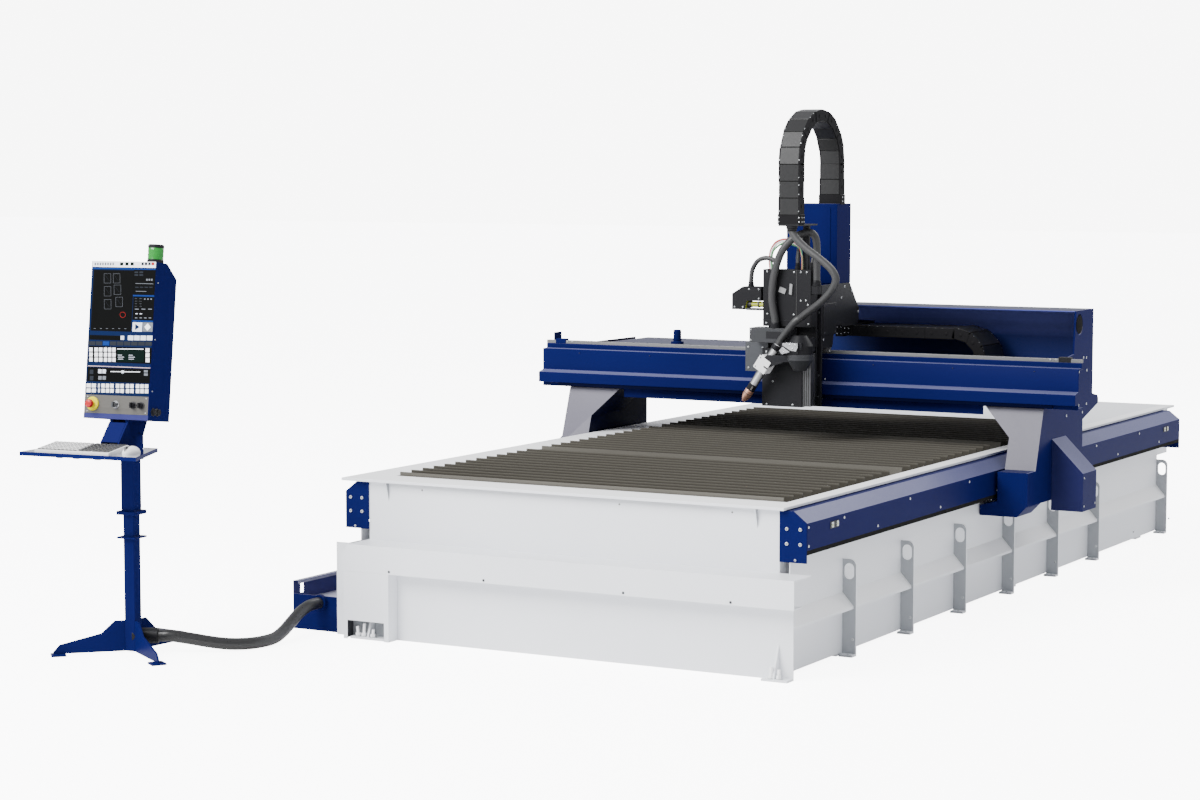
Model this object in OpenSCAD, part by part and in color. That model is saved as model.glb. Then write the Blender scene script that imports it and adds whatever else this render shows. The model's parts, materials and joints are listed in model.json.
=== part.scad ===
// Cutting table with a travelling gantry, a bevel torch head and a free-standing operator console.
// Millimetres, +Z up. The origin is on the floor under the middle of the table; the console stands at the front left.

/* [Table] */
// Distance from the middle to the outer face of the lower side walls
wall_half = 1015; // [950:1:1100]
// Depth of the ribs outside the side walls
rib_depth = 60; // [50:1:70]
// Distance from the middle to the front panel
front_reach = 2600; // [2560:1:2680]
// Distance from the middle to the rear edge of the deck
rear_reach = 2534; // [2520:1:2600]
// Height of the rim
rim_height = 667; // [667:1:675]
// Spacing of the ribs
rib_pitch = 609.6; // [590:0.1:620]
// Sheet thickness of the walls
sheet = 6; // [4:1:8]

/* [Slats] */
// Spacing of the slats
slat_pitch = 88.9; // [60:0.1:92]
// Height of one slat
slat_height = 110; // [80:1:118]
// Thickness of one slat
slat_thick = 6; // [3:1:10]
// Slats in one rack
slats_per_rack = 13; // [8:1:13]
// Distance from one rack to the next
rack_pitch = 1208; // [1180:1:1215]

/* [Gantry] */
// Reach of the beam past the side plates
beam_reach = 162; // [155:1:200]
// Width of one truck beside the rail cover
truck_w = 137; // [125:1:150]
// Height of the beam underside
beam_low = 885; // [880:1:890]
// Wall of the beam tube
beam_wall = 8; // [5:1:12]
// Width of the cross energy chain
x_chain_width = 250; // [150:1:260]

/* [Carriage] */
// Height of the chain tower above the carriage plate
tower_rise = 382; // [330:1:420]
// Width of the vertical energy chain
z_chain_width = 110; // [70:1:120]
// Outer bend radius of the vertical energy chain
z_chain_bend = 256; // [250:1:262]

/* [Torch] */
// Tilt of the torch at rest
torch_tilt = 33.5; // [33:0.1:34]
// Radius of the torch tube
torch_r = 18; // [14:0.5:20]
// Distance from the tilt pivot to the tip
torch_reach = 217; // [205:1:225]

/* [Console] */
// Width of the head
head_w = 309; // [300:1:330]
// Height of the head
head_h = 644; // [620:1:680]
// Depth of the head
head_d = 158; // [140:1:170]
// Backward lean of the head
head_lean = 7.2; // [5:0.1:8]
// Width of the keyboard shelf
shelf_w = 551; // [540:1:600]
// Turn of the console about its post
console_turn = 5.7; // [4:0.1:7]
// Outer diameter of the conduit
conduit_d = 50; // [40:1:52]

/* [Hidden] */
$fn = 48;
fine = 0.3;
run = 0.05;
past = 1;

// Table walls
wall_x = [wall_half - sheet, wall_half];
rail_room = 46;
tub_half = wall_half - rail_room;
tub_x = [tub_half - sheet, tub_half];
rib_half = wall_half + rib_depth;
panel_y = [-front_reach, -front_reach + sheet];
wall_back = 96;
tub_front = -front_reach + wall_back;
tub_rear_gap = 30;
tub_rear = rear_reach - tub_rear_gap;
rear_overhang = 353;
lower_rear = rear_reach - rear_overhang;
rim_t = 12;
rim_low = rim_height - rim_t;
wall_low = 12;
wall_drop = 185;
wall_top = rim_low - wall_drop;
ledge_drop = 65;
ledge_z = wall_top - ledge_drop;
sleeper_h = 80;
sleeper_half = 40;
sleeper_inset = [600, 281];
sleeper_rows = [-front_reach + sleeper_inset[0], 0, lower_rear - sleeper_inset[1]];
runner_x = [560, 640];
pan_top = sleeper_h + sheet;

// Front apron and leg cover
apron_out = 68;
apron_y = -front_reach - apron_out;
apron_side = [13, 33];
apron_x = [-wall_half + apron_side[0], rib_half + apron_side[1]];
apron_drop = [116, 49];
apron_low = ledge_z - apron_drop[0];
apron_step = ledge_z - apron_drop[1];
apron_cut = 28;
apron_in = apron_x[0] + apron_cut;
leg_cover_in = [7, 236];
leg_cover_x = [apron_x[0] + leg_cover_in[0], apron_x[0] + leg_cover_in[1]];
cover_t = 4;
leg_mouth_in = [20, 24];
leg_mouth_x = [leg_cover_x[0] + leg_mouth_in[0], leg_cover_x[1] - leg_mouth_in[1]];
leg_mouth_top = 80;
anchor_t = 10;
anchor_depth = 55;
anchor_in = [5, 10];
anchor_left_x = [leg_mouth_x[0] + anchor_in[0], leg_mouth_x[1] - anchor_in[1]];
anchor_w = 115;
anchor_right_x = [rib_half - anchor_w, rib_half];
anchor_rib_in = [85, 50];
anchor_rib_left = anchor_left_x[0] + anchor_rib_in[0];
anchor_rib_right = anchor_right_x[0] + anchor_rib_in[1];
anchor_rib_t = 10;
anchor_rib_y = 50;
anchor_rib_z = 141;

// Ribs
rib_lead = 604;
rib_first = -front_reach + rib_lead;
rib_count = 6;
rib_end_in = 6;
rib_end = lower_rear - rib_end_in;
rib_t = 10;
rib_under = 5;
rib_top = ledge_z - rib_under;
rib_round = 28;
rib_slot_r = 21;
rib_slot_drop = [62, 38];
rib_slot_z = [rib_top - rib_slot_drop[0], rib_top - rib_slot_drop[1]];
foot_half = 40;
foot_t = 10;
foot_hole_r = 9;
foot_hole_back = 22;
strip_drop = [204, 194, 138];
strip_z = [rib_top - strip_drop[0], rib_top - strip_drop[1], rib_top - strip_drop[2]];
strip_out = 50;

// Rim and slats
rim_front_out = 26;
rim_front_in = 144;
rim_front_y = [tub_front - rim_front_out, tub_front + rim_front_in];
rim_left_side = [126, 44];
rim_left_x = [-tub_half - rim_left_side[0], -tub_half + rim_left_side[1]];
rim_right_side = [39, 28];
rim_right_x = [tub_half - rim_right_side[0], tub_half + rim_right_side[1]];
gusset_in = 99;
gusset_x = tub_half - gusset_in;
gusset_t = 6;
gusset_drop = 80;
gusset_out = 24;
gusset_root = 4;
slat_clear = 57;
slat_half = tub_half - slat_clear;
slat_drop = 82;
slat_low = rim_low - slat_drop;
slat_lead = 153;
slat_first = tub_front + slat_lead;
rack_count = 3;
rack_len = (slats_per_rack - 1) * slat_pitch + slat_thick;
deck_gap = 42.2;
deck_front = slat_first + (rack_count - 1) * rack_pitch + rack_len + deck_gap;
ledger_lap = 22;
ledger_in = slat_half - ledger_lap;
ledger_t = 6;
ledger_web = 70;
keel_half = 10;
keel_drop = 123;
keel_low = slat_low - keel_drop;

// Side rails, with heights for a rim underside at rail_datum
rail_datum = 655;
lift = rim_low - rail_datum;
truck_low = 470;
rail_beam_w = 61;
beam_out = tub_half + rail_beam_w;
rail_beam_z = [500, 640];
rail_short = 194;
rail_y = [tub_front, rear_reach - rail_short];
cover_sheet = 3;
cover_top = 653;
cover_w = [60, 118];
cover_flat = tub_half + cover_w[0];
cover_out = tub_half + cover_w[1];
cover_fold = 608;
end_low = 450;
guide_w = 14;
guide_x = [beam_out, beam_out + guide_w];
guide_z = [560, 583];
guide_short = 24;
rack_in = [30, 10];
rack_x = [beam_out - rack_in[0], beam_out - rack_in[1]];
rack_drop = 16;

// Fasteners
head_r = 9;
head_t = 6;
screw_r = 6;
screw_t = 3;
end_bolt_side = [25, 90];
end_bolt_x = [tub_half + end_bolt_side[0], tub_half + end_bolt_side[1]];
end_bolt_z = [505, 585];
apron_screw_up = 16;
apron_screw_z = apron_low + apron_screw_up;
apron_screws = 10;
apron_screw_pitch = (apron_x[1] - apron_in) / (apron_screws - 0.1);
cover_screw_z = [520, 590];
cover_screws = 10;
cover_screw_pitch = (rail_y[1] - rail_y[0]) / (cover_screws + 0.3);
anchor_bolt_r = 9;
anchor_bolt_h = 16;
anchor_bolt_out = 28;
anchor_bolt_in = 25;
anchor_bolt_x = [anchor_left_x[0] + anchor_bolt_in, anchor_left_x[1] - anchor_bolt_in,
    anchor_right_x[0] + anchor_bolt_in, anchor_right_x[1] - anchor_bolt_in];

// Cable trough and its chain
trough_w = 250;
trough_x = [-rib_half - trough_w, -rib_half];
trough_ends = [30, 19];
trough_y = [-front_reach + trough_ends[0], lower_rear + trough_ends[1]];
trough_sheet = 3;
trough_wall = 209;
trough_low_wall = 153;
trough_floor = 60;
trough_flange = 30;
trough_notch_in = [51, 77];
trough_notch_y = [trough_y[0] + trough_notch_in[0], trough_y[0] + trough_notch_in[1]];
trough_notch_low = 148;
trough_notch_z = [trough_notch_low, trough_wall - trough_sheet];
y_chain_in = [55, 165];
y_chain_x = [trough_x[0] + y_chain_in[0], trough_x[0] + y_chain_in[1]];
chain_t = 53;
y_chain_start = 0;
y_chain_bend_y = 930;
y_chain_end = -60;
y_chain_low = trough_floor + trough_sheet;
y_chain_drop = 127;
y_chain_top = truck_low + lift - y_chain_drop;
y_chain_bend = (y_chain_top - y_chain_low) / 2;

// Gantry
beam_front = -277;
beam_back = -90;
beam_top = 1074;
flange_front = -320;
flange_z = [907, 958, 968];
band_front = -239;
band_top = 1098;
x_rail_short = 111;
strip_low = 844;
low_strip_in = 17;
end_cut_y = -205;
low_strip_y = [-268, -262];
x_rail_y = [-237, -214];
x_rail_top = 1114;
x_low_rail_y = [-316, -300];
x_low_rail_h = 16;
x_low_rail_z = [flange_z[0] - x_low_rail_h, flange_z[0]];
plate_t = 8;
truck_gap = 18;
truck_in = cover_out + truck_gap;
leg_out = truck_in + truck_w;
leg_half = leg_out + plate_t;
leg_lap = 4;
leg_in = truck_in - leg_lap;
beam_half = leg_half + beam_reach;
x_rail_half = beam_half - x_rail_short;
leg_low = 607;
leg_low_front = -379;
leg_top_front = -282;
leg_back = 260;
leg_wall = 6;
leg_cut_front = -262;
knee_z = 750;
haunch_w = 134;
haunch_in = leg_in - haunch_w;
low_strip_half = haunch_in - low_strip_in;
haunch_back = -9;
tray_back = 396;
side_right = [[-482, 454], [-482, leg_low], [leg_low_front, leg_low], [leg_top_front, beam_low],
    [beam_back, beam_low], [beam_back, band_top], [6, band_top], [124, 1110], [146, 1313], [tray_back, 1313],
    [tray_back, 906], [470, 893], [485, 878], [485, 855], [leg_back, 792], [leg_back, 450]];
side_left = [[-482, 454], [-482, leg_low], [leg_low_front, leg_low], [leg_top_front, beam_low],
    [beam_back, beam_low], [beam_back, band_top], [tray_back, band_top], [tray_back, 906], [470, 893], [485, 878],
    [485, 855], [leg_back, 792], [leg_back, 450]];
side_hole = [191, 1247];
side_hole_r = 50;
truck_y = [-482, leg_back];
truck_z = [truck_low, leg_low];
truck_wall = 6;
guard_back = -290;
guard_z = [404, 449, 470];
guard_clear = 6;
guard_in = wall_half + guard_clear;
guard_fold = [43, 152];
arm_side = [20, 40];
arm_x = [beam_out + arm_side[0], beam_out + arm_side[1]];
arm_top = 598;
arm_foot = 8;
arm_y = [[-400, -300], [80, 180]];
chain_arm_in = [2, 52];
chain_arm_x = [-leg_out + chain_arm_in[0], -leg_out + chain_arm_in[1]];
chain_arm_y = [-60, 0];
block_in = 4;
block_z = [548, 595];
drive_y = [-168, 22];
drive_out = 153;
drive_z = [405, 582, 736];
drive_sheet = 3;
gearbox_x = 50;
gearbox_y = [-130, -20];
gearbox_z = [460, 570];
motor_r = 45;
motor_len = 90;
tray_t = 6;
hood_left = -155;
hood_top = 1313;
hood_front = 146;
cover_left_in = 72;
cover_left = -leg_out + cover_left_in;
stop_len = 58;
stop_y = [-239, -207];
stop_top = 1122;
post_at = [-790, 0];
post_r = 20;
post_collar_r = 32;
post_collar_h = 14;
post_h = 69;
x_chain_front = 40;
x_chain_y = [x_chain_front, x_chain_front + x_chain_width];
x_chain_bend = 164;
x_chain_bend_x = 676;
x_chain_fixed = -140;
x_chain_moving = 100;
x_chain_low = beam_low + tray_t;
x_chain_top = x_chain_low + 2 * x_chain_bend;

// Carriage
car_x = [-104, 161];
car_y = [-347, -332];
car_z = [854, 1430];
saddle_y = [-332, -195];
saddle_z = [1137, 1152];
cheek_t = 8;
cheek = [[-332, 1127], [-221, 1127], [-189, 1230], [93, 1230], [93, 1302], [-16, 1430], [-332, 1430]];
chain_shelf_x = [100, 161];
chain_shelf_y = [-100, 280];
chain_shelf_z = [x_chain_top, 1230];
tower_y = [-176, -13];
tower_sheet = 6;
tower_top = car_z[1] + tower_rise;
liner = [[-100, 1240], [105, 1240], [105, 1306], [-10, 1436], [-100, 1436]];
x_motor_x = [-20, 70];
x_motor_y = [-300, -215];
x_motor_z = [1152, 1270];
x_motor_r = 40;
x_motor_cap = 60;
x_block_x = [[-90, -20], [77, 147]];
x_block_y = [-251, -200];
x_block_low = 1104;
low_block_y = [-322, -294];
low_block_z = [880, 901];
low_arm_z = [870, 905];
z_rail_x = [[-71, -48], [105, 128]];
z_rail_y = [-363, -347];
z_rail_z = [870, 1420];
z_rack_x = [18, 38];
z_rack_y = [-359, -347];
z_chain_right = 161;
z_chain_x = [z_chain_right - z_chain_width, z_chain_right];
z_chain_back = -89;
z_chain_mid_y = z_chain_back - z_chain_bend;
z_chain_mid_z = 2001;
z_chain_front = z_chain_mid_y - z_chain_bend;
z_chain_drop = 1722;

// Ram
ram_x = [-98, 152];
ram_y = [-387, -375];
ram_z = [900, 1505];
z_block_wide = 20;
z_block_y = [-375, -351];
z_block_z = [[950, 1020], [1150, 1220]];
core_x = [-92, 108];
core_y = [-442, -387];
core_z = [860, 1130];
nose_x = [-100, 108];
nose_y = [-450, -442];
nose_low = 854;
box_y = [-450, -387];
box_z = [1234, 1505];
right_plug_x = [152, 186];
right_plug_y = [-445, -405];
right_plug_z = [1390, 1430];
entry_x = [-149, 53];
entry_y = [-492, -387];
entry_z = [1158, 1228];
ext_x = [108, 149];
ext_y = [-440, -387];
ext_z = [858, 1110];
post_bar_x = [94, 124];
post_bar_y = [-418, -398];
post_plate_t = 8;
post_plate_y = [z_chain_front, post_bar_y[1]];
sensor_x = [-262, -108];
sensor_step = [-193, -183];
sensor_step_z = 1352;
sensor_y = [-450, -385];
sensor_z = [1310, 1420];
sensor_cut = [57, 35];
sensor_arm_y = [-430, -400];
sensor_arm_z = [1360, 1400];
probe_x = [-195, -98];
probe_y = -425;
probe_z = 1335;
probe_r = 13;
tag_x = [-214, -92];
tag_y = [-400, -392];
tag_z = [1012, 1152];

// Bevel head
bevel_at = [130, -520];
bevel_drop = 18;
bevel_split = core_z[1] - bevel_drop;
bevel_r = 62;
bevel_up = [40, 64, 88];
bevel_neck_r = [48, 32];
bevel_top = [[bevel_r, bevel_split + bevel_up[0]], [bevel_neck_r[0], bevel_split + bevel_up[1]],
    [bevel_neck_r[1], bevel_split + bevel_up[2]]];
bevel_down = [77, 27];
bevel_foot_r = 30;
bevel_low = [[bevel_foot_r, bevel_split - bevel_down[0]], [bevel_r, bevel_split - bevel_down[1]]];
bevel_shaft_r = 15;
bevel_shaft_up = 38;
bevel_shaft_top = bevel_split + bevel_shaft_up;
hanger_x = [110, 150];
hanger_up = [28, 68];
hanger_z = [bevel_split + hanger_up[0], bevel_split + hanger_up[1]];
pivot_out = 176;
pivot_drop = 53;
pivot = [bevel_at[0] - pivot_out, bevel_at[1], bevel_split - pivot_drop];
yoke_y = [26, 28, 40];
yoke_x = [40, 100];
yoke_down = [37, 7];
yoke_z = [bevel_split - yoke_down[0], bevel_split - yoke_down[1]];
yoke_rise = 46;
yoke_shape = [[106, yoke_rise], [106, 13], [6, -21], [-20, -11], [-20, 15], [26, yoke_rise]];
yoke = [for (q = yoke_shape) [pivot[0] + q[0], pivot[2] + q[1]]];
pin_r = 8;
clamp_half = 32;
clamp_z = 35;
tube_low = -150;
tube_top = 90;
collar_r = 22;
collar_top = 115;
shield_r = 21;
shield_low = -182;
tip_r = [6, 17];

// Hoses
hose_r = 15;
lead_r = 18;
wire_r = 8;
tube_sides = 10;
hose_steps = 3;
hose_route = [[169, -425, 1430], [169, -425, 1452], [169, -425, 1475], [169, -425, 1530], [171, -428, 1600],
    [166, -432, 1655], [141, -440, 1681], [86, -458, 1667], [43, -470, 1633], [14, -476, 1594], [-10, -477, 1541],
    [-28, -477, 1475], [-37, -477, 1415], [-38, -476, 1361], [-32, -473, 1318], [-24, -472, 1276],
    [-22, -472, 1252], [-22, -472, 1240], [-22, -472, 1228]];
wire_route = [[-175, -420, 1420], [-175, -420, 1436], [-175, -420, 1452], [-168, -420, 1500], [-142, -420, 1540],
    [-105, -420, 1556], [-66, -420, 1552], [-45, -420, 1535], [-45, -420, 1520], [-45, -420, 1505]];
lead_dir = [sin(torch_tilt), 0, cos(torch_tilt)];
lead_start = pivot + collar_top * lead_dir;
lead_straight = [132, 150];
lead_next = [for (q = lead_straight) pivot + q * lead_dir];
lead_bend = [[97, -532, 1262], [174, -545, 1313], [244, -555, 1358], [303, -562, 1410], [331, -566, 1464],
    [318, -570, 1506], [280, -572, 1542], [238, -574, 1573], [182, -576, 1612], [137, -577, 1653], [111, -577, 1690],
    [111, -577, 1702], [111, -577, 1714]];
lead_route = concat([lead_start], lead_next, lead_bend);

// Console
console_off = [490, 760];
console_at = [-rib_half - console_off[0], -front_reach - console_off[1]];
fin_t = 8;
fin_shape = [[0, 8], [326, 8], [326, 16], [300, 45], [130, 85], [75, 135], [0, 135]];
fin_turns = [219, 321, 80];
pad_half = 30;
pad_t = 8;
pad_out = 305;
pad_hole_r = 6;
low_post = 25;
low_post_z = [8, 574];
low_flange = 45;
low_flange_z = [476, 484];
up_post = 30;
up_flange_z = [574, 590];
up_post_top = 900;
neck_x = [37, 45];
neck_top_y = [-84, 62];
neck_low = [[-30, 800], [30, 800], [30, 900]];
neck_front = [[-60, 900], [-30, 870]];
shelf_z = [850, 856];
shelf_y = [-361, -30];
shelf_shift = -13;
shelf_lip = 10;
shelf_taper = 112;
shelf_sheet = 4;
head_shift = -12;
head_out = 87;
head_low = 972;
neck_z = [for (y = neck_top_y) head_low - (y + head_out) * tan(head_lean)];
neck = concat(neck_low, [[neck_top_y[1], neck_z[1]], [neck_top_y[0], neck_z[0]]], neck_front);
head_sheet = 3;
head_top_d = 81.5;
head_drop = 59;
lip_h = 22;
panel_h = 75;
panel_t = 4;
screen_t = 24;
estop_x = -113;
button_z = 60;
estop_ring_r = 27;
estop_ring_t = 6;
estop_r = 20;
estop_stem_r = 11;
estop_gap = 8;
estop_cap_t = 16;
estop_tail = 12;
key_x = -4;
knob_x = [81, 119];
knob_r = 11;
knob_ring_r = 14;
knob_ring_t = 3;
knob_t = 16;
knob_tail = 10;
handle_half = 3;
light_x = 122;
light_y = 42;
light_r = 31;
light_cap = 14;
light_lens = 46;
light_lens_r = 28;
keys_x = [-240, 112];
keys_y = [-327, -180];
keys_t = 28;
mouse_at = [158, -235];
mouse_half = [30, 52];
mouse_t = 30;

// Conduit
gland_turn = 20.7;
gland_reach = 106;
gland_z = 71;
gland_r = 32;
trough_gland_r = 34;
trough_gland_t = 20;
conduit_in = 102;
conduit_end_x = trough_x[1] - conduit_in;
conduit_end_z = 125;
conduit_dir = [cos(console_turn + gland_turn), sin(console_turn + gland_turn), 0];
conduit_start = [console_at[0], console_at[1], gland_z] + gland_reach * conduit_dir;
conduit_straight = [22, 50];
conduit_next = [for (q = conduit_straight) conduit_start + q * conduit_dir];
conduit_sag = [[-183, -678, 58], [-113, -630, 42], [-58, -580, 31], [-15, -520, 26], [10, -450, 25],
    [19, -370, 29], [14, -300, 46], [5, -230, 73], [-1, -160, 103], [0, -105, 121], [0, -62, 125],
    [0, -31, 125]];
conduit_end = [conduit_end_x, trough_y[0], 0];
conduit_route = concat([conduit_start], conduit_next, [for (q = conduit_sag) conduit_end + q],
    [conduit_end + [0, 0, conduit_end_z]]);
conduit_sides = 12;

// Helpers
module box(x, y, z) {
    translate([x[0], y[0], z[0]])
        cube([x[1] - x[0], y[1] - y[0], z[1] - z[0]]);
}

module both() {
    children();
    mirror([1, 0, 0])
        children();
}

module raised() {
    translate([0, 0, lift])
        children();
}

module along_y(y, shape) {
    translate([0, y[1], 0])
        rotate([90, 0, 0])
            linear_extrude(y[1] - y[0])
                polygon(shape);
}

module along_x(x, shape) {
    translate([x[0], 0, 0])
        rotate([90, 0, 90])
            linear_extrude(x[1] - x[0])
                polygon(shape);
}

module rod_x(x, y, z, r) {
    translate([x[0], y, z])
        rotate([0, 90, 0])
            cylinder(h = x[1] - x[0], r = r);
}

module rod_y(x, y, z, r) {
    translate([x, y[1], z])
        rotate([90, 0, 0])
            cylinder(h = y[1] - y[0], r = r);
}

module rod_z(x, y, z, r) {
    translate([x, y, z[0]])
        cylinder(h = z[1] - z[0], r = r);
}

function unit(v) = v / norm(v);
function spline_at(a, b, c, d, t) =
    0.5 * (2 * b + (c - a) * t + (2 * a - 5 * b + 4 * c - d) * t * t + (3 * b - a - 3 * c + d) * t * t * t);
function spline(p, n) = concat(
    [for (i = [0 : len(p) - 2]) for (j = [0 : n - 1])
        spline_at(p[max(i - 1, 0)], p[i], p[i + 1], p[min(i + 2, len(p) - 1)], j / n)],
    [p[len(p) - 1]]);
function tangent(p, i) = unit(p[min(i + 1, len(p) - 1)] - p[max(i - 1, 0)]);

module tube(route, r, sides, steps, ref) {
    p = spline(route, steps);
    count = len(p);
    rings = [for (i = [0 : count - 1])
        let (t = tangent(p, i), v = unit(cross(t, ref)), u = cross(v, t))
        for (j = [0 : sides - 1]) p[i] + r * (cos(360 * j / sides) * u + sin(360 * j / sides) * v)];
    first_side = [for (i = [0 : count - 2]) for (j = [0 : sides - 1])
        [i * sides + j, (i + 1) * sides + j, (i + 1) * sides + (j + 1) % sides]];
    second_side = [for (i = [0 : count - 2]) for (j = [0 : sides - 1])
        [i * sides + j, (i + 1) * sides + (j + 1) % sides, i * sides + (j + 1) % sides]];
    start_cap = [[for (j = [0 : sides - 1]) j]];
    end_cap = [[for (j = [0 : sides - 1]) count * sides - 1 - j]];
    polyhedron(points = rings, faces = concat(first_side, second_side, start_cap, end_cap));
}

// Half ring about an X axis, open on the side where the flat boxes join it
module bend_about_x(x, y, z, r_out, r_in, cut_y, cut_z) {
    difference() {
        rod_x(x, y, z, r_out);
        rod_x([x[0] - past, x[1] + past], y, z, r_in);
        box([x[0] - past, x[1] + past], cut_y, cut_z);
    }
}

// Table
module anchor_foot(x, rib_x) {
    box(x, [-front_reach - anchor_depth, -front_reach], [0, anchor_t]);
    along_x([rib_x - anchor_rib_t / 2, rib_x + anchor_rib_t / 2],
        [[-front_reach - anchor_rib_y, anchor_t], [-front_reach, anchor_t], [-front_reach, anchor_rib_z]]);
}

module base_frame() {
    color([0.2, 0.21, 0.23]) {
        for (y = sleeper_rows) {
            box([-wall_x[0], wall_x[0]], [y - sleeper_half, y + sleeper_half], [0, sleeper_h]);
        }
        both() {
            box(runner_x, [sleeper_rows[0] + sleeper_half, sleeper_rows[1] - sleeper_half], [0, sleeper_h]);
            box(runner_x, [sleeper_rows[1] + sleeper_half, sleeper_rows[2] - sleeper_half], [0, sleeper_h]);
        }
        anchor_foot(anchor_left_x, anchor_rib_left);
        anchor_foot(anchor_right_x, anchor_rib_right);
    }
}

module side_walls() {
    color([0.9, 0.91, 0.92])
        both() {
            box(wall_x, [panel_y[1], tub_front], [wall_low, ledge_z - sheet]);
            box(wall_x, [tub_front, lower_rear], [wall_low, wall_top]);
            box([tub_half, wall_half], [tub_front, lower_rear], [wall_top - sheet, wall_top]);
        }
}

module front_panel() {
    color([0.9, 0.91, 0.92])
        box([-rib_half, rib_half], panel_y, [0, ledge_z - sheet]);
}

module front_apron() {
    color([0.92, 0.93, 0.94]) {
        along_y([apron_y, apron_y + sheet], [[apron_x[0], apron_low], [apron_x[0], apron_step],
            [apron_in, ledge_z], [apron_x[1], ledge_z], [apron_x[1], apron_low]]);
        box([apron_in, apron_x[1]], [apron_y + sheet, tub_front], [ledge_z - sheet, ledge_z]);
        box(apron_x, [apron_y + sheet, -front_reach], [apron_low, apron_low + sheet]);
    }
}

module leg_cover() {
    color([0.92, 0.93, 0.94])
        difference() {
            box(leg_cover_x, [apron_y, -front_reach], [0, apron_low]);
            box([leg_cover_x[0] + cover_t, leg_cover_x[1] - cover_t], [apron_y + cover_t, -front_reach + past],
                [-past, apron_low - cover_t]);
            box(leg_mouth_x, [apron_y - past, apron_y + cover_t + past], [-past, leg_mouth_top]);
        }
}

module rib(y) {
    mid_x = wall_half + rib_depth / 2;
    difference() {
        union() {
            box([wall_half, rib_half], [y - rib_t / 2, y + rib_t / 2], [foot_t, rib_top - rib_round]);
            box([wall_half, rib_half - rib_round], [y - rib_t / 2, y + rib_t / 2], [foot_t, rib_top]);
            rod_y(rib_half - rib_round, [y - rib_t / 2, y + rib_t / 2], rib_top - rib_round, rib_round);
        }
        for (z = rib_slot_z) {
            rod_y(mid_x, [y - rib_t, y + rib_t], z, rib_slot_r);
        }
        box([mid_x - rib_slot_r, mid_x + rib_slot_r], [y - rib_t, y + rib_t], rib_slot_z);
    }
    difference() {
        box([wall_half, rib_half], [y - foot_half, y + rib_t / 2], [0, foot_t]);
        rod_z(mid_x, y - foot_hole_back, [-past, foot_t + past], foot_hole_r);
    }
}

module rib_strip(y0, y1) {
    along_y([y0, y1], [[wall_half, strip_z[0]], [wall_half + strip_out, strip_z[0]],
        [wall_half + strip_out, strip_z[1]], [wall_half, strip_z[2]]]);
}

module side_ribs() {
    color([0.88, 0.89, 0.9])
        both() {
            for (k = [0 : rib_count - 1]) {
                rib(rib_first + k * rib_pitch);
            }
            rib(rib_end);
            rib_strip(panel_y[1], rib_first - rib_t / 2);
            for (k = [0 : rib_count - 2]) {
                rib_strip(rib_first + k * rib_pitch + rib_t / 2, rib_first + (k + 1) * rib_pitch - rib_t / 2);
            }
            rib_strip(rib_first + (rib_count - 1) * rib_pitch + rib_t / 2, rib_end - rib_t / 2);
        }
}

module tub_walls() {
    color([0.9, 0.91, 0.92]) {
        both() {
            box(tub_x, [tub_front, lower_rear], [pan_top, rim_low]);
            box(tub_x, [lower_rear, tub_rear], [ledge_z, rim_low]);
        }
        box([-tub_x[0], tub_x[0]], [tub_front, tub_front + sheet], [pan_top, rim_low]);
        box([-tub_x[0], tub_x[0]], [tub_rear - sheet, tub_rear], [ledge_z, rim_low]);
        box([-tub_x[0], tub_x[0]], [lower_rear - sheet, lower_rear], [pan_top, ledge_z]);
        box([-tub_x[0], tub_x[0]], [lower_rear - sheet, tub_rear - sheet], [ledge_z, ledge_z + sheet]);
    }
}

module rim_flanges() {
    color([0.93, 0.94, 0.95]) {
        box([rim_left_x[0], rim_right_x[1]], rim_front_y, [rim_low, rim_height]);
        box(rim_left_x, [rim_front_y[1], rear_reach], [rim_low, rim_height]);
        box(rim_right_x, [rim_front_y[1], rear_reach], [rim_low, rim_height]);
        for (x = [-gusset_x, gusset_x]) {
            along_x([x - gusset_t / 2, x + gusset_t / 2],
                [[tub_front, rim_low + gusset_root], [tub_front - gusset_out, rim_low + gusset_root],
                [tub_front - gusset_out, rim_low], [tub_front, rim_low - gusset_drop]]);
        }
    }
}

module rear_deck() {
    color([0.93, 0.94, 0.95])
        box([rim_left_x[1], rim_right_x[0]], [deck_front, rear_reach], [rim_low, rim_height]);
}

module slat_racks() {
    color([0.45, 0.44, 0.42]) {
        both() {
            box([ledger_in, tub_x[0]], [tub_front + sheet, deck_front], [slat_low - ledger_t, slat_low]);
            box([tub_x[0] - ledger_t, tub_x[0]], [tub_front + sheet, deck_front],
                [slat_low - ledger_web, slat_low - ledger_t]);
        }
        box([-keel_half, keel_half], [tub_front + sheet, deck_front], [keel_low, slat_low]);
        box([-keel_half, keel_half], [deck_front, lower_rear - sheet], [keel_low, keel_low + ledger_web]);
        box([-keel_half, keel_half], [lower_rear - sheet, tub_rear - sheet], [keel_low, keel_low + ledger_web]);
    }
}

module slats() {
    color([0.33, 0.31, 0.25])
        for (r = [0 : rack_count - 1]) {
            for (i = [0 : slats_per_rack - 1]) {
                y = slat_first + r * rack_pitch + i * slat_pitch;
                box([-slat_half, slat_half], [y, y + slat_thick], [slat_low, slat_low + slat_height]);
            }
        }
}

module drop_pan() {
    color([0.4, 0.4, 0.4])
        box([-wall_x[0], wall_x[0]], [panel_y[1], lower_rear], [sleeper_h, pan_top]);
}

module rail_beams() {
    color([0.85, 0.86, 0.88]) raised()
        both()
            difference() {
                box([tub_half, beam_out], rail_y, rail_beam_z);
                box([tub_half + sheet, beam_out - sheet], [rail_y[0] - past, rail_y[1] + past],
                    [rail_beam_z[0] + sheet, rail_beam_z[1] - sheet]);
            }
}

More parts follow.
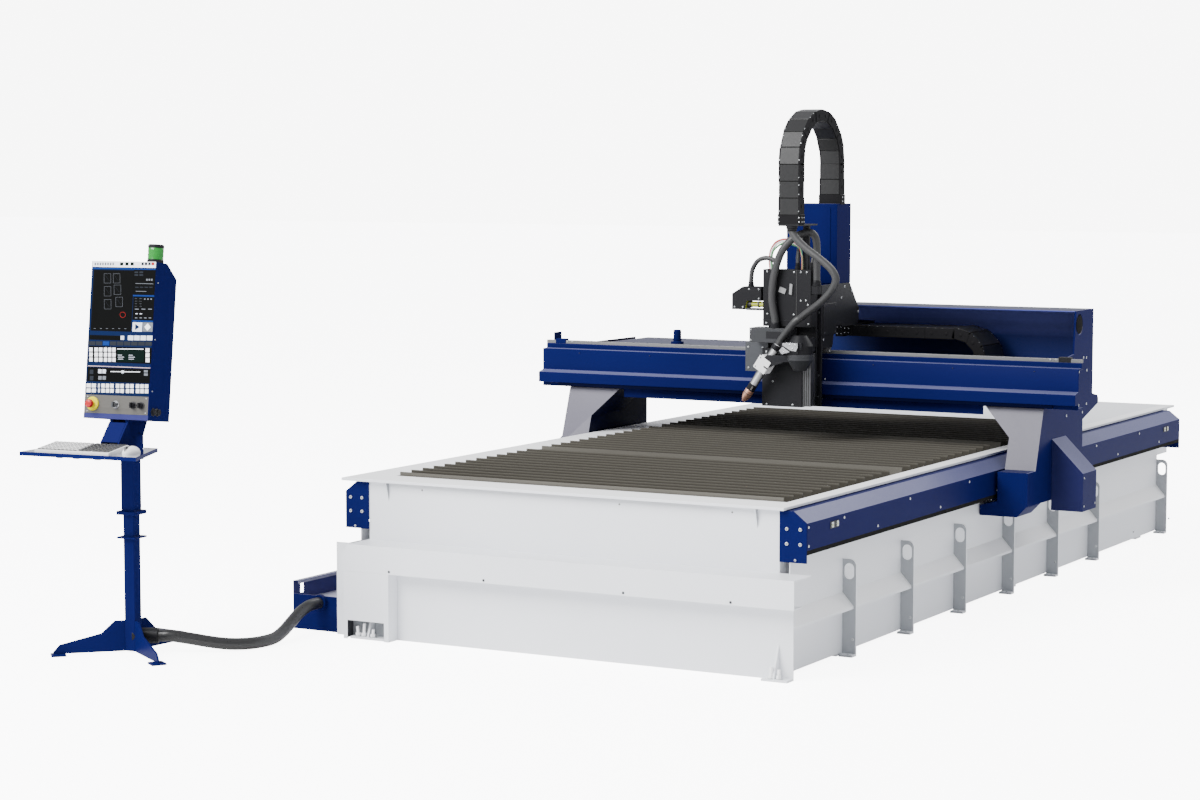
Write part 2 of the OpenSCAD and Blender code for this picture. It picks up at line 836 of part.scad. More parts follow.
module rail_covers() {
    color([0.1, 0.12, 0.26]) raised()
        both()
            along_y(rail_y, [[tub_half, cover_top], [cover_flat, cover_top], [cover_out, cover_fold],
                [cover_out, rail_beam_z[0]], [cover_out - cover_sheet, rail_beam_z[0]],
                [cover_out - cover_sheet, cover_fold - cover_sheet / 2],
                [cover_flat - cover_sheet / 2, cover_top - cover_sheet], [tub_half, cover_top - cover_sheet]]);
}

module rail_end_plate(y) {
    along_y(y, [[tub_half, cover_top], [cover_flat, cover_top], [cover_out, cover_fold], [cover_out, end_low],
        [tub_half, end_low]]);
}

module rail_end_plates() {
    color([0.1, 0.12, 0.26]) raised()
        both() {
            rail_end_plate([rail_y[0] - sheet, rail_y[0]]);
            rail_end_plate([rail_y[1], rail_y[1] + sheet]);
        }
}

module y_rails() {
    color([0.7, 0.71, 0.73]) raised()
        both() {
            box(guide_x, [rail_y[0] + guide_short, rail_y[1] - guide_short], guide_z);
            box(rack_x, [rail_y[0] + guide_short, rail_y[1] - guide_short],
                [rail_beam_z[0] - rack_drop, rail_beam_z[0]]);
        }
}

module table_fasteners() {
    color([0.6, 0.61, 0.62]) {
        raised() both() {
            for (x = end_bolt_x) {
                for (z = end_bolt_z) {
                    rod_y(x, [rail_y[0] - sheet - head_t, rail_y[0] - sheet], z, head_r);
                    rod_y(x, [rail_y[1] + sheet, rail_y[1] + sheet + head_t], z, head_r);
                }
            }
            for (k = [1 : cover_screws]) {
                rod_x([cover_out, cover_out + screw_t], rail_y[0] - sheet + k * cover_screw_pitch - screw_r,
                    cover_screw_z[k % 2], screw_r);
            }
        }
        for (k = [0 : apron_screws - 1]) {
            rod_y(apron_in + (k + 0.3) * apron_screw_pitch, [apron_y - screw_t, apron_y], apron_screw_z, screw_r);
        }
        for (x = anchor_bolt_x) {
            rod_z(x, -front_reach - anchor_bolt_out, [anchor_t, anchor_t + anchor_bolt_h], anchor_bolt_r);
        }
    }
}

module cable_trough() {
    color([0.1, 0.12, 0.24])
        difference() {
            union() {
                box([trough_x[0], trough_x[0] + trough_sheet], trough_y, [0, trough_wall]);
                box([trough_x[0], trough_x[0] + trough_flange], trough_y, [trough_wall - trough_sheet, trough_wall]);
                box([trough_x[1] - trough_sheet, trough_x[1]], trough_y, [0, trough_low_wall]);
                box(trough_x, trough_y, [trough_floor, trough_floor + trough_sheet]);
                box(trough_x, [trough_y[0], trough_y[0] + trough_sheet], [0, trough_low_wall]);
                box(trough_x, [trough_y[1] - trough_sheet, trough_y[1]], [0, trough_low_wall]);
            }
            box([trough_x[0] - past, trough_x[0] + trough_sheet + past], trough_notch_y, trough_notch_z);
        }
}

module y_chain() {
    mid_z = y_chain_low + y_chain_bend;
    color([0.22, 0.23, 0.25]) {
        box(y_chain_x, [y_chain_start, y_chain_bend_y], [y_chain_low, y_chain_low + chain_t]);
        box(y_chain_x, [y_chain_end, y_chain_bend_y], [y_chain_top - chain_t, y_chain_top]);
        bend_about_x(y_chain_x, y_chain_bend_y, mid_z, y_chain_bend, y_chain_bend - chain_t,
            [y_chain_bend_y - y_chain_bend - past, y_chain_bend_y],
            [y_chain_low - past, y_chain_top + past]);
    }
}

// Gantry
module gantry_beam() {
    color([0.1, 0.12, 0.26]) raised() {
        difference() {
            union() {
                box([-beam_half, beam_half], [beam_front, beam_back], [beam_low, beam_top]);
                box([-beam_half, beam_half], [band_front, beam_back], [beam_top, band_top]);
            }
            box([-beam_half - past, beam_half + past], [beam_front + beam_wall, beam_back - beam_wall],
                [beam_low + beam_wall, beam_top - beam_wall]);
            both()
                box([leg_out, beam_half + past], [end_cut_y, beam_back + past], [beam_low - past, band_top + past]);
        }
        along_x([-beam_half, beam_half], [[beam_front, flange_z[0]], [flange_front, flange_z[0]],
            [flange_front, flange_z[1]], [beam_front, flange_z[2]]]);
        box([-low_strip_half, low_strip_half], low_strip_y, [strip_low, beam_low]);
    }
}

module x_rails() {
    color([0.72, 0.73, 0.75]) raised() {
        box([-x_rail_half, x_rail_half], x_rail_y, [band_top, x_rail_top]);
        box([-x_rail_half, x_rail_half], x_low_rail_y, x_low_rail_z);
        both()
            box([x_rail_half + stop_len, beam_half], x_rail_y, [band_top, x_rail_top]);
    }
}

module leg() {
    slope = [[leg_low_front, leg_low], [leg_top_front, beam_low], [leg_back, beam_low], [leg_back, leg_low]];
    haunch_slope = [[leg_low_front, leg_low], [leg_top_front, beam_low], [haunch_back, beam_low],
        [haunch_back, leg_low]];
    difference() {
        along_x([leg_in, leg_out], slope);
        box([leg_in + leg_wall, leg_out - leg_wall], [leg_cut_front, leg_back + past],
            [leg_low + leg_wall, beam_low - leg_wall]);
    }
    intersection() {
        along_x([haunch_in, leg_in], haunch_slope);
        along_y([leg_low_front, haunch_back], [[leg_in, knee_z], [leg_in, beam_low], [haunch_in, beam_low]]);
    }
}

module gantry_legs() {
    color([0.1, 0.12, 0.26]) raised() {
        both()
            leg();
        difference() {
            along_x([leg_out, leg_half], side_right);
            rod_x([leg_out - past, leg_half + past], side_hole[0], side_hole[1], side_hole_r);
        }
        along_x([-leg_half, -leg_out], side_left);
    }
}

module truck() {
    difference() {
        box([truck_in, leg_out], truck_y, truck_z);
        box([truck_in + truck_wall, leg_out - truck_wall], [truck_y[0] + truck_wall, truck_y[1] + past],
            [truck_z[0] + truck_wall, truck_z[1] - truck_wall]);
    }
    difference() {
        along_y([truck_y[0], guard_back], [[guard_in, guard_z[0]], [leg_out - guard_fold[0], guard_z[0]],
            [leg_out, guard_z[1]], [leg_out, guard_z[2]], [leg_out - guard_fold[1], guard_z[2]],
            [guard_in, guard_z[1]]]);
        along_y([truck_y[0] + truck_wall, guard_back + past],
            [[guard_in + truck_wall, guard_z[0] + truck_wall],
            [leg_out - guard_fold[0] - truck_wall / 2, guard_z[0] + truck_wall],
            [leg_out - truck_wall, guard_z[1] + truck_wall / 2], [leg_out - truck_wall, guard_z[2] - truck_wall],
            [leg_out - guard_fold[1], guard_z[2] - truck_wall], [guard_in + truck_wall, guard_z[1] - truck_wall]]);
    }
    for (y = arm_y) {
        box([arm_x[0], leg_out], y, [truck_z[0] - arm_foot, truck_z[0] + truck_wall]);
        box(arm_x, y, [truck_z[0] - arm_foot, arm_top]);
    }
}

module gantry_trucks() {
    color([0.1, 0.12, 0.26]) raised() {
        both()
            truck();
        box(chain_arm_x, chain_arm_y, [truck_z[0] - y_chain_drop, truck_z[0] + truck_wall]);
    }
}

module y_bearings() {
    color([0.35, 0.36, 0.38]) raised()
        both()
            for (y = arm_y) {
                difference() {
                    box([guide_x[0] + block_in, arm_x[0]], y, block_z);
                    box([guide_x[0], guide_x[1] + fine], [y[0] - past, y[1] + past],
                        [guide_z[0] - fine, guide_z[1] + fine]);
                }
            }
}

module drive_covers() {
    out_x = leg_half + drive_out;
    color([0.1, 0.12, 0.26]) raised()
        both()
            difference() {
                along_y(drive_y, [[leg_half, drive_z[2]], [out_x, drive_z[1]], [out_x, drive_z[0]],
                    [leg_half, drive_z[0]]]);
                along_y([drive_y[0] + drive_sheet, drive_y[1] - drive_sheet],
                    [[leg_half - past, drive_z[2] - drive_sheet], [out_x - drive_sheet, drive_z[1] - drive_sheet],
                    [out_x - drive_sheet, drive_z[0] - past], [leg_half - past, drive_z[0] - past]]);
            }
}

module drive_motors() {
    mid_y = (gearbox_y[0] + gearbox_y[1]) / 2;
    mid_z = (gearbox_z[0] + gearbox_z[1]) / 2;
    color([0.25, 0.26, 0.28]) raised()
        both() {
            box([leg_half, leg_half + gearbox_x], gearbox_y, gearbox_z);
            rod_x([leg_half + gearbox_x, leg_half + gearbox_x + motor_len], mid_y, mid_z, motor_r);
        }
}

module chain_tray() {
    color([0.1, 0.12, 0.26]) raised() {
        box([-leg_out, leg_out], [beam_back, tray_back], [beam_low, beam_low + tray_t]);
        box([hood_left, leg_out], [tray_back - tray_t, tray_back], [beam_low + tray_t, hood_top]);
        box([hood_left, leg_out], [hood_front, tray_back - tray_t], [hood_top - tray_t, hood_top]);
        box([cover_left, hood_left], [tray_back - tray_t, tray_back], [beam_low + tray_t, band_top]);
        box([cover_left, hood_left], [beam_back, tray_back - tray_t], [band_top - tray_t, band_top]);
        box([cover_left, cover_left + tray_t], [beam_back, tray_back - tray_t],
            [beam_low + tray_t, band_top - tray_t]);
        box([hood_left - tray_t, hood_left], [beam_back, tray_back - tray_t],
            [beam_low + tray_t, band_top - tray_t]);
    }
}

module beam_stops() {
    color([0.08, 0.08, 0.09]) raised() {
        both()
            box([x_rail_half, x_rail_half + stop_len], stop_y, [band_top, stop_top]);
        rod_z(post_at[0], post_at[1], [band_top, band_top + post_h], post_r);
        rod_z(post_at[0], post_at[1], [band_top, band_top + post_collar_h], post_collar_r);
    }
}

module x_chain() {
    mid_z = x_chain_low + x_chain_bend;
    color([0.22, 0.23, 0.25]) raised() {
        box([x_chain_fixed, x_chain_bend_x], x_chain_y, [x_chain_low, x_chain_low + chain_t]);
        box([x_chain_moving, x_chain_bend_x], x_chain_y, [x_chain_top - chain_t, x_chain_top]);
        difference() {
            rod_y(x_chain_bend_x, x_chain_y, mid_z, x_chain_bend);
            rod_y(x_chain_bend_x, [x_chain_y[0] - past, x_chain_y[1] + past], mid_z, x_chain_bend - chain_t);
            box([x_chain_bend_x - x_chain_bend - past, x_chain_bend_x], [x_chain_y[0] - past, x_chain_y[1] + past],
                [x_chain_low - past, x_chain_top + past]);
        }
    }
}

// Carriage
module carriage_plate() {
    color([0.06, 0.06, 0.07]) raised() {
        box(car_x, car_y, car_z);
        box([car_x[0] + cheek_t, car_x[1] - cheek_t], saddle_y, saddle_z);
        along_x([car_x[0], car_x[0] + cheek_t], cheek);
        along_x([car_x[1] - cheek_t, car_x[1]], cheek);
        box(chain_shelf_x, chain_shelf_y, chain_shelf_z);
    }
}

module tower() {
    color([0.1, 0.12, 0.26]) raised() {
        box(car_x, [tower_y[0], tower_y[0] + tower_sheet], [car_z[1], tower_top]);
        box([car_x[0], car_x[0] + tower_sheet], tower_y, [car_z[1], tower_top]);
        box([car_x[1] - tower_sheet, car_x[1]], tower_y, [car_z[1], tower_top]);
        box(car_x, tower_y, [tower_top - tower_sheet, tower_top]);
        along_x([car_x[0] + cheek_t, car_x[0] + cheek_t + tower_sheet], liner);
        along_x([car_x[1] - cheek_t - tower_sheet, car_x[1] - cheek_t], liner);
    }
}

module x_drive() {
    mid_x = (x_motor_x[0] + x_motor_x[1]) / 2;
    mid_y = (x_motor_y[0] + x_motor_y[1]) / 2;
    color([0.2, 0.2, 0.22]) raised() {
        box(x_motor_x, x_motor_y, x_motor_z);
        rod_z(mid_x, mid_y, [x_motor_z[1], x_motor_z[1] + x_motor_cap], x_motor_r);
    }
}

module carriage_guides() {
    color([0.55, 0.56, 0.58]) raised() {
        for (x = x_block_x) {
            difference() {
                box(x, x_block_y, [x_block_low, saddle_z[0]]);
                box([x[0] - past, x[1] + past], [x_rail_y[0] - fine, x_rail_y[1] + fine],
                    [x_block_low - past, x_rail_top + fine]);
            }
            difference() {
                box(x, low_block_y, low_block_z);
                box([x[0] - past, x[1] + past], [x_low_rail_y[0] - fine, x_low_rail_y[1] + fine],
                    [x_low_rail_z[0] - fine, low_block_z[1] + past]);
            }
            box(x, [car_y[1], low_block_y[0]], low_arm_z);
        }
        for (x = z_rail_x) {
            box(x, z_rail_y, z_rail_z);
        }
        box(z_rack_x, z_rack_y, z_rail_z);
    }
}

module z_chain() {
    color([0.22, 0.23, 0.25]) raised() {
        box(z_chain_x, [z_chain_back - chain_t, z_chain_back], [tower_top, z_chain_mid_z]);
        box(z_chain_x, [z_chain_front, z_chain_front + chain_t], [z_chain_drop, z_chain_mid_z]);
        bend_about_x(z_chain_x, z_chain_mid_y, z_chain_mid_z, z_chain_bend, z_chain_bend - chain_t,
            [z_chain_front - past, z_chain_back + past],
            [z_chain_mid_z - z_chain_bend - past, z_chain_mid_z]);
    }
}

// Ram
module z_ram() {
    color([0.07, 0.07, 0.08]) raised() {
        box(ram_x, ram_y, ram_z);
        for (x = z_rail_x) {
            for (z = z_block_z) {
                difference() {
                    box([x[0] - z_block_wide, x[1] + z_block_wide], z_block_y, z);
                    box([x[0] - fine, x[1] + fine], [z_rail_y[0] - fine, z_block_y[1] + past],
                        [z[0] - past, z[1] + past]);
                }
            }
        }
    }
}

module ram_core() {
    color([0.75, 0.76, 0.78]) raised() {
        box(core_x, core_y, core_z);
        box(nose_x, nose_y, [nose_low, core_z[1]]);
        box(nose_x, core_y, [nose_low, core_z[0]]);
        box(ext_x, ext_y, ext_z);
        box(tag_x, tag_y, tag_z);
    }
}

module z_box() {
    color([0.05, 0.05, 0.06]) raised() {
        box(ram_x, box_y, box_z);
        box(right_plug_x, right_plug_y, right_plug_z);
        box(entry_x, entry_y, entry_z);
        box(post_bar_x, post_bar_y, [box_z[1], z_chain_drop]);
        box(z_chain_x, post_plate_y, [z_chain_drop - post_plate_t, z_chain_drop]);
    }
}

module sensor_box() {
    color([0.06, 0.06, 0.07]) raised() {
        along_y(sensor_y, [[sensor_x[0], sensor_z[0]], [sensor_x[0], sensor_z[1] - sensor_cut[1]],
            [sensor_x[0] + sensor_cut[0], sensor_z[1]], [sensor_x[1], sensor_z[1]], [sensor_x[1], sensor_step_z],
            [sensor_step[1], sensor_step_z], [sensor_step[0], sensor_z[0]]]);
        box([sensor_x[1], ram_x[0]], sensor_arm_y, sensor_arm_z);
        rod_x(probe_x, probe_y, probe_z, probe_r);
    }
}

module bevel_housing() {
    color([0.45, 0.46, 0.48]) raised()
        difference() {
            union() {
                translate([bevel_at[0], bevel_at[1], 0])
                    rotate_extrude()
                        polygon(concat([[0, bevel_split], [bevel_r, bevel_split]], bevel_top,
                            [[0, bevel_top[2][1]]]));
                box(hanger_x, [bevel_at[1], ram_y[0]], hanger_z);
            }
            rod_z(bevel_at[0], bevel_at[1], [bevel_split - past, bevel_shaft_top + past], bevel_shaft_r + run);
        }
}

module ram_hoses() {
    color([0.3, 0.31, 0.32]) raised() {
        tube(hose_route, hose_r, tube_sides, hose_steps, [0, 1, 0]);
        tube(wire_route, wire_r, tube_sides, hose_steps, [0, 1, 0]);
    }
}

module torch_lead() {
    color([0.35, 0.36, 0.37]) raised()
        tube(lead_route, lead_r, tube_sides, hose_steps, [0, 1, 0]);
}

module bevel_arm() {
    color([0.78, 0.79, 0.81]) raised()
        difference() {
            union() {
                translate([bevel_at[0], bevel_at[1], 0])
                    rotate_extrude()
                        polygon(concat([[0, bevel_low[0][1]]], bevel_low,
                            [[bevel_r, bevel_split - fine], [0, bevel_split - fine]]));
                rod_z(bevel_at[0], bevel_at[1], [yoke_z[0], bevel_shaft_top], bevel_shaft_r);
                box([yoke_x[0], bevel_at[0]], [pivot[1] - yoke_y[2], pivot[1] + yoke_y[2]], yoke_z);
                along_y([pivot[1] - yoke_y[2], pivot[1] - yoke_y[1]], yoke);
                along_y([pivot[1] + yoke_y[1], pivot[1] + yoke_y[2]], yoke);
            }
            rod_y(pivot[0], [pivot[1] - yoke_y[2] - past, pivot[1] + yoke_y[2] + past], pivot[2], pin_r + run);
        }
}

module at_torch() {
    translate(pivot)
        rotate([0, torch_tilt, 0])
            children();
}

module torch_clamp() {
    color([0.85, 0.86, 0.87]) raised()
        at_torch() {
            difference() {
                box([-clamp_half, clamp_half], [-yoke_y[0], yoke_y[0]], [-clamp_z, clamp_z]);
                rod_z(0, 0, [-clamp_z - past, clamp_z + past], torch_r);
            }
            rod_y(0, [yoke_y[0], yoke_y[2]], 0, pin_r);
            rod_y(0, [-yoke_y[2], -yoke_y[0]], 0, pin_r);
        }
}

module torch_body() {
    color([0.7, 0.71, 0.73]) raised()
        at_torch() {
            rod_z(0, 0, [tube_low, tube_top], torch_r);
            rod_z(0, 0, [tube_top, collar_top], collar_r);
        }
}

module torch_nozzle() {
    color([0.7, 0.4, 0.22]) raised()
        at_torch() {
            rod_z(0, 0, [shield_low, tube_low], shield_r);
            translate([0, 0, -torch_reach])
                cylinder(h = torch_reach + shield_low, r1 = tip_r[0], r2 = tip_r[1]);
        }
}

// Console
module at_console() {
    translate([console_at[0], console_at[1], 0])
        rotate([0, 0, console_turn])
            children();
}

module at_head() {
    at_console()
        translate([head_shift, -head_out, head_low])
            rotate([-head_lean, 0, 0])
                children();
}

module console_base() {
    color([0.1, 0.12, 0.26])
        at_console()
            difference() {
                union() {
                    for (turn = fin_turns) {
                        rotate([0, 0, turn]) {
                            along_y([-fin_t / 2, fin_t / 2], fin_shape);
                            box([pad_out - pad_half, pad_out + pad_half], [-pad_half, pad_half], [0, pad_t]);
                        }
                    }
                }
                box([-low_post, low_post], [-low_post, low_post], [-past, fin_shape[6][1] + past]);
                for (turn = fin_turns) {
                    rotate([0, 0, turn])
                        rod_z(pad_out, pad_half - pad_hole_r - fin_t, [-past, pad_t + past], pad_hole_r);
                }
            }
}

module console_lower_post() {
    color([0.1, 0.12, 0.26])
        at_console() {
            box([-low_post, low_post], [-low_post, low_post], low_post_z);
            box([-low_flange, low_flange], [-low_flange, low_flange], low_flange_z);
        }
}

module console_upper_post() {
    color([0.1, 0.12, 0.26])
        at_console() {
            box([-low_flange, low_flange], [-low_flange, low_flange], up_flange_z);
            box([-up_post, up_post], [-up_post, up_post], [up_flange_z[1], up_post_top]);
            along_x([-neck_x[1], -up_post], neck);
            along_x([up_post, neck_x[1]], neck);
        }
}

module shelf_plan(z, inset, over) {
    left = shelf_shift - shelf_w / 2 + inset;
    right = shelf_shift + shelf_w / 2 - inset;
    translate([0, 0, z[0]])
        linear_extrude(z[1] - z[0])
            polygon([[left, shelf_y[0] + inset], [right, shelf_y[0] + inset], [right - shelf_taper, shelf_y[1] + over],
                [left, shelf_y[1] + over]]);
}

module console_shelf() {
    low = shelf_z[0] - shelf_lip;
    color([0.1, 0.12, 0.26])
        at_console()
            difference() {
                shelf_plan([low, shelf_z[1]], 0, 0);
                shelf_plan([low - past, shelf_z[0]], shelf_sheet, past);
            }
}

module head_shape(width, side) {
    translate([-width / 2, 0, 0])
        rotate([90, 0, 90])
            linear_extrude(width)
                polygon(side);
}

module console_housing() {
    s = head_sheet;
    color([0.1, 0.12, 0.26])
        at_head()
            difference() {
                head_shape(head_w, [[0, 0], [head_d, 0], [head_d, head_h - head_drop], [head_top_d, head_h],
                    [0, head_h]]);
                head_shape(head_w - 2 * s, [[-past, lip_h], [head_d - s, lip_h],
                    [head_d - s, head_h - head_drop - s], [head_top_d - s, head_h - s], [-past, head_h - s]]);
            }
}

module console_screen() {
    color([0.03, 0.03, 0.04])
        at_head()
            box([-head_w / 2 + head_sheet, head_w / 2 - head_sheet], [0, screen_t],
                [lip_h + panel_h, head_h - head_sheet]);
}

module control_plate() {
    color([0.72, 0.73, 0.75])
        at_head() {
            difference() {
                box([-head_w / 2 + head_sheet, head_w / 2 - head_sheet], [0, panel_t], [lip_h, lip_h + panel_h]);
                rod_y(estop_x, [-past, panel_t + past], button_z, estop_stem_r + run);
                for (x = [key_x, knob_x[0], knob_x[1]]) {
                    rod_y(x, [-past, panel_t + past], button_z, knob_r + run);
                }
            }
            difference() {
                rod_y(estop_x, [-estop_ring_t, 0], button_z, estop_ring_r);
                rod_y(estop_x, [-estop_ring_t - past, past], button_z, estop_stem_r + run);
            }
            for (x = [key_x, knob_x[0], knob_x[1]]) {
                difference() {
                    rod_y(x, [-knob_ring_t, 0], button_z, knob_ring_r);
                    rod_y(x, [-knob_ring_t - past, past], button_z, knob_r + run);
                }
            }
        }
}

module stack_light() {
    color([0.1, 0.5, 0.2])
        at_head() {
            rod_z(light_x, light_y, [head_h, head_h + light_cap], light_r);
            rod_z(light_x, light_y, [head_h + light_cap, head_h + light_cap + light_lens], light_lens_r);
            rod_z(light_x, light_y, [head_h + light_cap + light_lens, head_h + 2 * light_cap + light_lens], light_r);
        }
}

module keyboard_set() {
    color([0.8, 0.8, 0.8])
        at_console() {
            box(keys_x, keys_y, [shelf_z[1], shelf_z[1] + keys_t]);
            box([mouse_at[0] - mouse_half[0], mouse_at[0] + mouse_half[0]],
                [mouse_at[1] - mouse_half[1], mouse_at[1] + mouse_half[1]], [shelf_z[1], shelf_z[1] + mouse_t]);
        }
}

module conduit_glands() {
    color([0.06, 0.06, 0.07]) {
        at_console()
            difference() {
                rotate([0, 0, gland_turn])
                    rod_x([0, gland_reach], 0, gland_z, gland_r);
                box([-low_post, low_post], [-low_post, low_post], [0, low_flange_z[0]]);
                for (turn = fin_turns) {
                    rotate([0, 0, turn])
                        along_y([-fin_t / 2, fin_t / 2], fin_shape);
                }
            }
        difference() {
            rod_y(conduit_end_x, [trough_y[0] - trough_gland_t, trough_y[0]], conduit_end_z, trough_gland_r);
            rod_y(conduit_end_x, [trough_y[0] - trough_gland_t - past, trough_y[0] + past], conduit_end_z,
                conduit_d / 2 + fine);
        }
    }
}

module conduit() {
    color([0.4, 0.41, 0.42])
        tube(conduit_route, conduit_d / 2, conduit_sides, hose_steps, [0, 0, 1]);
}

module estop_button() {
    color([0.75, 0.06, 0.05])
        at_head() {
            rod_y(estop_x, [-estop_ring_t - estop_gap, estop_tail], button_z, estop_stem_r);
            rod_y(estop_x, [-estop_ring_t - estop_gap - estop_cap_t, -estop_ring_t - estop_gap], button_z, estop_r);
        }
}

module knob(x) {
    rod_y(x, [-knob_t, knob_tail], button_z, knob_r);
    box([x - handle_half, x + handle_half], [-knob_t - knob_tail, -knob_t], [button_z - knob_r, button_z + knob_r]);
}

module key_switch() {
    color([0.6, 0.6, 0.62])
        at_head()
            knob(key_x);
}

module selector_left() {
    color([0.05, 0.05, 0.05])
        at_head()
            knob(knob_x[0]);
}

module selector_right() {
    color([0.05, 0.05, 0.05])
        at_head()
            knob(knob_x[1]);
}

base_frame();
side_walls();
front_panel();
front_apron();
leg_cover();
side_ribs();
tub_walls();
rim_flanges();
rear_deck();
slat_racks();
slats();
drop_pan();
rail_beams();
rail_covers();
rail_end_plates();
y_rails();
table_fasteners();
cable_trough();
y_chain();
console_base();
console_lower_post();
console_upper_post();
console_shelf();
console_housing();
console_screen();
control_plate();
stack_light();
keyboard_set();
conduit_glands();
conduit();
estop_button();
key_switch();
selector_left();
selector_right();
gantry_beam();
x_rails();
gantry_legs();
gantry_trucks();
y_bearings();
drive_covers();
drive_motors();
chain_tray();
beam_stops();
x_chain();
carriage_plate();
tower();
x_drive();
carriage_guides();
z_chain();
z_ram();
ram_core();
z_box();
sensor_box();
bevel_housing();
ram_hoses();
torch_lead();
bevel_arm();
torch_clamp();
torch_body();
torch_nozzle();
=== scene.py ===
import json
import math
from itertools import product

import bmesh
import bpy
from mathutils import Euler, Matrix, Vector


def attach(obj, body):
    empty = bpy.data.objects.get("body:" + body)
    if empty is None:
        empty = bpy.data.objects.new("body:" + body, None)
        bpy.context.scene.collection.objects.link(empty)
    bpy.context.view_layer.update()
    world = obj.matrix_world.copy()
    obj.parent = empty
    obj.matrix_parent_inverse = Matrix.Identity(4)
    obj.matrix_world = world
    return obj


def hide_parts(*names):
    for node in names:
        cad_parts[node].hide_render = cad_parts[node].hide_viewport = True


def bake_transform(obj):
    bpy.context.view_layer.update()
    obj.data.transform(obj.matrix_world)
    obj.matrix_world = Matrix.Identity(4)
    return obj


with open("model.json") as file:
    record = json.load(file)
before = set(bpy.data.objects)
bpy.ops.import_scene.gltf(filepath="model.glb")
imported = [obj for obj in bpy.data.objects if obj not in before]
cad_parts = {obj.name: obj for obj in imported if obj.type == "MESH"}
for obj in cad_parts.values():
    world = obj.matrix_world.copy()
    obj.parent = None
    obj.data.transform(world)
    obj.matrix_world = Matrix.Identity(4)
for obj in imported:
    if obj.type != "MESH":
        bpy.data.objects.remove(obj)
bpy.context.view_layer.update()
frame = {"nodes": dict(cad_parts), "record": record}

MM = 0.001
UP = (0, 0, 1)
FRONT = (0, -1, 0)
nodes = frame["nodes"]
node_body = {n: b for b, ns in frame["record"]["behaviour"]["bodies"].items() for n in ns}
collection = bpy.context.scene.collection

# Camera, at the photograph's viewing angle
lens_mm = 80.834
camera_at = (5.45907, -12.01109, 2.02839)
camera_dips = 5.1232
camera_turns = 29.1344
camera_data = bpy.data.cameras.new("camera")
camera_data.sensor_width = 36.0
camera_data.lens = lens_mm
camera_data.clip_end = 200.0
camera = bpy.data.objects.new("camera", camera_data)
camera.location = camera_at
camera.rotation_euler = Euler((math.radians(90 - camera_dips), 0, math.radians(camera_turns)))
collection.objects.link(camera)
bpy.context.scene.camera = camera


# Materials
def mixed(nt, links, factor, low, high):
    """low, turned to the colour high where factor is 1; low is a colour or a node's output."""
    mix = nt.new("ShaderNodeMix")
    mix.data_type = "RGBA"
    mix.inputs["B"].default_value = (*high, 1)
    if isinstance(low, tuple):
        mix.inputs["A"].default_value = (*low, 1)
    else:
        links.new(low, mix.inputs["A"])
    links.new(factor, mix.inputs["Factor"])
    return mix.outputs["Result"]


def noise(nt, links, coords, scale, detail=4.0, stretch=None):
    source = coords
    if stretch:
        mapping = nt.new("ShaderNodeMapping")
        mapping.inputs["Scale"].default_value = stretch
        links.new(coords, mapping.inputs["Vector"])
        source = mapping.outputs["Vector"]
    tex = nt.new("ShaderNodeTexNoise")
    tex.inputs["Scale"].default_value = scale
    tex.inputs["Detail"].default_value = detail
    links.new(source, tex.inputs["Vector"])
    return tex.outputs["Fac"]


def ramp(nt, links, factor, low, high, low_value=0.0, high_value=1.0):
    node = nt.new("ShaderNodeMapRange")
    node.inputs["From Min"].default_value = low
    node.inputs["From Max"].default_value = high
    node.inputs["To Min"].default_value = low_value
    node.inputs["To Max"].default_value = high_value
    links.new(factor, node.inputs["Value"])
    return node.outputs["Result"]


M = {}
grain_depth = 0.002
edge_reflection_from, edge_reflection_to = 0.12, 0.42


